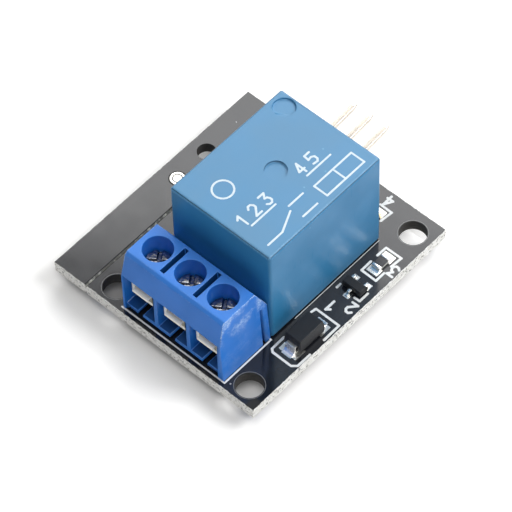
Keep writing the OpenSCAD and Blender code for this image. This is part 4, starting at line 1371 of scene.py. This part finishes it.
@dataclass
class Relay:
    """The relay: its cover with a printed diagram, and the works inside.

    Attributes:
        bench: the bench.
        edge: rounding of the cover's edges, in millimetres.
    """

    bench: Bench
    edge: float = 0.12

    def cover(self) -> None:
        """Rounds the cover's edges, apart from those of the dimples in its top, and marks faces for painted
        shade.
        """
        low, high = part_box("relay_cover")

        def within(place: Vector, inset: float) -> bool:
            """Says whether a place is further than an inset from the cover's four sides."""
            return all(low[k] + inset < place[k] < high[k] - inset for k in range(2))

        def outer(edge: bmesh.types.BMEdge) -> bool:
            """Says whether an edge lies outside the moulded dimples of the top."""
            place = (edge.verts[0].co + edge.verts[1].co) / 2
            return not (within(place, 1.5 * MM) and place.z > high.z - 1.0 * MM)

        def shadowed(face: bmesh.types.BMFace) -> bool:
            """Says whether a face gets painted shade: a dimple's wall, or the dark line below the top.

            Args:
                face: the face.

            Returns:
                Whether it is one.
            """
            place = face.calc_center_median()
            if place.z < high.z - 0.5 * MM:
                return False
            upright = abs(face.normal.z) < 0.5
            return upright if within(place, 0.3 * MM) else 0.5 < face.normal.z < 0.9

        self.bench.eased("relay_shell", "relay_cover", "relay_blue",
                         Easing(self.edge, 3, 20.0, chosen=outer, in_painted_shade=shadowed))

    def diagram(self) -> None:
        """Prints a plain diagram of coil and contact, with numbers for the pins."""
        top = (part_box("relay_cover")[1].z - self.bench.corner.z) / MM
        ink = Print(self.bench, top, line=0.26)
        ink.draw(((19.8, 6.1), (26.2, 6.1), (26.2, 8.1), (19.8, 8.1)), Joint.CLOSED)
        for points in (
            ((23.0, 6.1), (23.0, 8.1)), ((10.2, 6.5), (12.6, 6.5), (15.4, 7.8)),
            ((15.8, 6.2), (18.2, 6.2)), ((15.8, 8.4), (18.2, 8.4)), ((11.0, 9.7), (15.0, 9.7)),
            ((20.4, 9.7), (24.4, 9.7)),
        ):
            ink.draw(points)
        for value, x in enumerate((10.8, 12.8, 14.8, 20.6, 22.6), start=1):
            ink.number(value, (x, 11.0), 1.6, 0.0, 0.28)
        middle, radius, sides = (12.6, 15.6), 1.3, 24
        turns = [2 * math.pi * k / sides for k in range(sides)]
        ink.draw([(middle[0] + radius * math.cos(t), middle[1] + radius * math.sin(t)) for t in turns],
                 Joint.CLOSED)
        ink.finish("relay_diagram", "relay_print")

    def works(self) -> None:
        """Dresses the base and the works inside the cover."""
        for finish, nodes in {
            "relay_base_blue": ("relay_base",),
            "bobbin_plastic": ("relay_bobbin",),
            "copper_wire": ("relay_winding",),
            "soft_iron": ("relay_core", "relay_yoke", "relay_armature"),
            "spring_bronze": ("contact_leaf",),
            "contact_silver": ("moving_contact", "open_contact", "closed_contact"),
            "contact_brass": ("common_terminal", "open_terminal", "closed_terminal"),
            "lead_tin": ("coil_pins",),
        }.items():
            self.bench.dress(finish, nodes)

    def build(self) -> None:
        """Builds the relay's pieces."""
        self.cover()
        self.diagram()
        self.works()


@dataclass
class Header:
    """The right-angle header: an insulator and its gilt pins.

    Attributes:
        bench: the bench.
        pins: how many pins it has.
    """

    bench: Bench
    pins: int = 3

    def build(self) -> None:
        """Builds the header's pieces."""
        self.bench.eased("header_strip", "header_insulator", "header_black", Easing(0.12))
        for pin in range(1, self.pins + 1):
            self.bench.eased(f"pin_{pin}", f"header_pin_{pin}", "pin_gold", Easing(0.07))


@dataclass
class SmallParts:
    """The diode, the transistor, the chip resistors and the chip lamp.

    Attributes:
        bench: the bench.
        glaze_t: the thickness of a resistor's glaze, in millimetres.
    """

    bench: Bench
    glaze_t: float = 0.1

    def build(self) -> None:
        """Builds the small parts."""
        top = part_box("resistor_body")[1].z - self.glaze_t * MM
        self.bench.learn(Glazed("resistor_glaze", (0.014, 0.014, 0.016), (0.72, 0.72, 0.68), top))
        for name, node, finish, easing in (
            ("diode_case", "diode_body", "diode_black", Easing(0.10, least_angle=25.0)),
            ("diode_feet", "diode_leads", "lead_tin", Easing(0.05)),
            ("transistor_case", "transistor_body", "transistor_black", Easing(0.07, least_angle=25.0)),
            ("transistor_feet", "transistor_leads", "lead_tin", Easing(0.04)),
            ("resistor_chip", "resistor_body", "resistor_glaze", Easing(0.03)),
            ("resistor_ends", "resistor_caps", "solder", Easing(0.06)),
            ("lamp_resistor_chip", "lamp_resistor_body", "resistor_glaze", Easing(0.03)),
            ("lamp_resistor_ends", "lamp_resistor_caps", "solder", Easing(0.06)),
            ("lamp_body", "lamp_base", "lamp_ceramic", Easing(0.03)),
            ("lamp_dome", "lamp_lens", "lamp_clear", Easing(0.08)),
            ("lamp_ends", "lamp_caps", "lamp_gilt", Easing(0.04)),
        ):
            self.bench.eased(name, node, finish, easing)


@dataclass
class Joints:
    """The solder joints: hollow cones under the board, fillets beside the small parts.

    Attributes:
        bench: the bench.
    """

    bench: Bench

    def cones(self, name: str, node: str, tip: float) -> None:
        """Builds the joints of one part's leads.

        Args:
            name: the piece's name.
            node: the frame's solder node.
            tip: radius where the solder ends on the lead, in millimetres.
        """
        bm = bmesh.new()
        for low, high in parts_of(node):
            one = bmesh.new()
            add_cone(one, low, high, tip * MM, Side.LOWER)
            close_shell(one)
            mesh = bpy.data.meshes.new("joint")
            one.to_mesh(mesh)
            one.free()
            bm.from_mesh(mesh)
            bpy.data.meshes.remove(mesh)
        self.bench.piece(name, bm, "solder", replaces=(node,))

    def fillets(self) -> None:
        """Builds the hollow fillets that run from the pads up to the ends of the small parts."""
        owners = [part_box(n) for n in ("diode_body", "transistor_body", "resistor_body",
                                      "lamp_resistor_body", "lamp_base")]
        middles = [(low + high) / 2 for low, high in owners]
        bm = bmesh.new()
        for low, high in parts_of("chip_solder"):
            middle = (low + high) / 2
            owner = min(middles, key=lambda m: (m.xy - middle.xy).length)
            off = owner - middle
            axis = 0 if abs(off.x) * (high.y - low.y) > abs(off.y) * (high.x - low.x) else 1
            add_fillet(bm, low, high, axis, off[axis] > 0)
        bmesh.ops.recalc_face_normals(bm, faces=bm.faces)
        self.bench.piece("chip_fillets", bm, "solder", replaces=("chip_solder",))

    def build(self) -> None:
        """Builds the joints."""
        for part, tip in (("terminal", 0.55), ("relay", 0.5), ("header", 0.42)):
            self.cones(f"{part}_joints", f"{part}_solder", tip)
        self.fillets()


# ---------------------------------------------------------------- studio


def direction(azimuth: float, elevation: float) -> Vector:
    """Finds the direction from the object to a place around it.

    Args:
        azimuth: the place's turn from the -Y side towards +X, in degrees.
        elevation: its angle over the floor, in degrees.

    Returns:
        The direction.
    """
    turn, rise = math.radians(azimuth), math.radians(elevation)
    return Vector((math.sin(turn) * math.cos(rise), -math.cos(turn) * math.cos(rise), math.sin(rise)))


@dataclass(frozen=True)
class Lamp:
    """One soft square lamp that faces the object.

    Attributes:
        name: its name.
        azimuth: its place around the object, in degrees.
        elevation: its height, in degrees.
        distance: its distance, in metres.
        size: its width, in metres.
        radiance: how bright its face is, where 1 looks white.
    """

    name: str
    azimuth: float
    elevation: float
    distance: float
    size: float
    radiance: float

    def build(self) -> None:
        """Hangs the lamp."""
        data = bpy.data.lights.new(self.name, "AREA")
        data.shape = "SQUARE"
        data.size = self.size
        data.energy = self.radiance * math.pi * self.size * self.size
        away = direction(self.azimuth, self.elevation)
        turn = away.to_track_quat("Z", "Y").to_matrix().to_4x4()
        add_object(self.name, data).matrix_world = Matrix.Translation(away * self.distance) @ turn


@dataclass
class Floor:
    """The pale floor, with painted shade under the board, where little light comes in.

    The camera also sees a painted glow on it, as in a picture whose ground is bleached out, which lightens
    the shadow around the board and under its end at +X. The glow lights nothing.

    Attributes:
        half_width: half of its width, in metres.
        pale: its colour in the open.
        dark: its colour where the painted shade of the board is deepest.
        inset: how far inside the board's outline the shaded part begins, in millimetres.
        open_end: how far from the board's end at +X the shade has gone, in millimetres.
        glow: the glow at the board's outline and away from it.
        glow_fade: how far from the outline the glow is full, in millimetres.
        near_glow: the glow that is added in front of the board's near edge.
        near_fade: how far before and behind that edge it changes, in millimetres.
        end_glow: the glow that is added under the board's end at +X.
    """

    half_width: float = 4.0
    pale: Color = (0.90, 0.895, 0.885)
    dark: Color = (0.17, 0.16, 0.15)
    inset: float = 1.0
    open_end: float = 8.0
    glow: tuple[float, float] = (0.09, 0.36)
    glow_fade: float = 7.0
    near_glow: float = 0.16
    near_fade: float = 5.0
    end_glow: float = 0.35

    def shine(self, tree: Tree) -> tuple[Socket, Socket]:
        """Masks the painted shade of the board on the floor, and the painted glow that the camera sees.

        Args:
            tree: the material's tree.

        Returns:
            The shade, from 0 to 1, and the strength of the glow.
        """
        axes = tree.axes(tree.add("ShaderNodeTexCoord").outputs["Object"])
        low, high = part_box("circuit_board")
        past = [tree.math("SUBTRACT", tree.apart(axes[k], (low[k] + high[k]) / 2), (high[k] - low[k]) / 2)
                for k in range(2)]
        under = tree.times(*(tree.below(side, -self.inset * MM) for side in past))
        end = high.x - self.open_end * MM
        back = high.y - self.open_end * MM
        fade = self.near_fade * MM
        # Painted shade under the board, and a painted glow that lightens the shadow beside it.
        shade = tree.times(under, tree.span(axes["X"], low.x, end, (0.75, 0.0)),
                           tree.span(axes["Y"], low.y, back, (0.25, 1.0)))
        away = tree.span(tree.math("MAXIMUM", *past), 0.0, self.glow_fade * MM, self.glow)
        near = tree.span(axes["Y"], low.y - fade, low.y + fade, (self.near_glow, 0.0))
        open_end = tree.span(axes["X"], end, high.x - self.open_end / 2 * MM, (0.0, self.end_glow))
        glow = tree.math("ADD", tree.math("ADD", away, near), tree.times(under, open_end))
        return shade, tree.times(glow, tree.math("SUBTRACT", 1.0, shade))

    def build(self) -> None:
        """Lays the floor under the object."""
        bm = bmesh.new()
        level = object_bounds()[0][2]
        bmesh.ops.create_grid(bm, x_segments=1, y_segments=1, size=self.half_width,
                              matrix=Matrix.Translation((0, 0, level)))
        mesh = bpy.data.meshes.new("floor")
        bm.to_mesh(mesh)
        bm.free()
        material = bpy.data.materials.new("floor")
        material.use_nodes = True
        material.node_tree.nodes.clear()
        tree = Tree(material.node_tree)
        shade, strength = self.shine(tree)
        matte = tree.add("ShaderNodeBsdfDiffuse", {"Color": tree.blend(shade, self.pale, self.dark)})
        glow = tree.add("ShaderNodeEmission", {"Color": WHITE, "Strength": strength})
        both = tree.add("ShaderNodeAddShader", {0: matte.outputs[0], 1: glow.outputs[0]})
        camera = tree.add("ShaderNodeLightPath").outputs["Is Camera Ray"]
        mixed = tree.add("ShaderNodeMixShader", {0: camera, 1: matte.outputs[0], 2: both.outputs[0]})
        tree.add("ShaderNodeOutputMaterial", {"Surface": mixed.outputs[0]})
        mesh.materials.append(material)
        add_object("floor", mesh)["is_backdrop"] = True


@dataclass
class Studio:
    """A pale floor, soft lamps and the camera.

    Attributes:
        azimuth: the camera's turn from the -Y side towards +X, in degrees.
        elevation: its angle over the floor.
        roll: its turn about its own line of sight.
        distance: from the target, in metres.
        target: the point that it looks at.
        lens: its focal length for a film as wide as `film`, in millimetres.
        film: the width of its film, in millimetres.
        surround: how bright the white surround is as a light, and where it is seen.
        lamps: the lamps.
    """

    azimuth: float = -46.286
    elevation: float = 54.382
    roll: float = -1.941
    distance: float = 0.411393
    target: Vector = field(default_factory=lambda: Vector((-0.369, 1.215, 1.6)) * MM)
    lens: float = 245.37
    film: float = 36.0
    surround: tuple[float, float] = (0.10, 0.75)
    lamps: tuple[Lamp, ...] = (
        Lamp("panel", azimuth=121.0, elevation=39.5, distance=0.62, size=0.36, radiance=4.2),
        Lamp("key", azimuth=40.0, elevation=46.0, distance=0.70, size=0.30, radiance=11.5),
        Lamp("overhead", azimuth=-50.0, elevation=72.0, distance=0.80, size=0.50, radiance=3.6),
    )

    def camera(self) -> None:
        """Places the camera."""
        back = direction(self.azimuth, self.elevation)
        right = (-back).cross(UP).normalized()
        up = right.cross(-back)
        roll = math.radians(self.roll)
        across = math.cos(roll) * right + math.sin(roll) * up
        above = -math.sin(roll) * right + math.cos(roll) * up
        data = bpy.data.cameras.new("camera")
        data.sensor_width = self.film
        data.lens = self.lens
        data.clip_start = 0.01
        data.clip_end = 50.0
        turn = Matrix((across, above, back)).transposed().to_4x4()
        obj = add_object("camera", data)
        obj.matrix_world = Matrix.Translation(self.target + back * self.distance) @ turn
        bpy.context.scene.camera = obj

    def world(self) -> None:
        """Makes a white surround that lights the object softly, and is brighter where it is seen."""
        world = bpy.data.worlds.new("surround")
        world.use_nodes = True
        tree = Tree(world.node_tree)
        world.node_tree.nodes.clear()
        light, seen = (tree.add("ShaderNodeBackground", {"Color": WHITE, "Strength": strength})
                       for strength in self.surround)
        path = tree.add("ShaderNodeLightPath").outputs
        mirrored = tree.math("MAXIMUM", path["Is Glossy Ray"], path["Is Transmission Ray"])
        both = tree.add("ShaderNodeMixShader", {0: tree.math("MAXIMUM", path["Is Camera Ray"], mirrored),
                                                1: light.outputs[0], 2: seen.outputs[0]})
        tree.add("ShaderNodeOutputWorld", {"Surface": both.outputs[0]})
        bpy.context.scene.world = world

    def build(self) -> None:
        """Sets up the studio."""
        bpy.context.scene.view_settings.view_transform = "Standard"
        self.world()
        Floor().build()
        for lamp in self.lamps:
            lamp.build()
        self.camera()


def main() -> None:
    """Builds the studio, then each sub-assembly in order."""
    logging.basicConfig(level=logging.INFO, format="%(name)s: %(message)s")
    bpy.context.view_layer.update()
    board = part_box("circuit_board")
    bench = Bench(Effects(), Vector((board[0].x, board[0].y, board[1].z)))
    for finish in FINISHES:
        bench.learn(finish)
    for part in (Studio(), Board(bench), TerminalBlock(bench), Relay(bench), Header(bench),
                 SmallParts(bench), Joints(bench)):
        log.info("building %s", type(part).__name__)
        part.build()


if __name__ == "__main__":
    main()
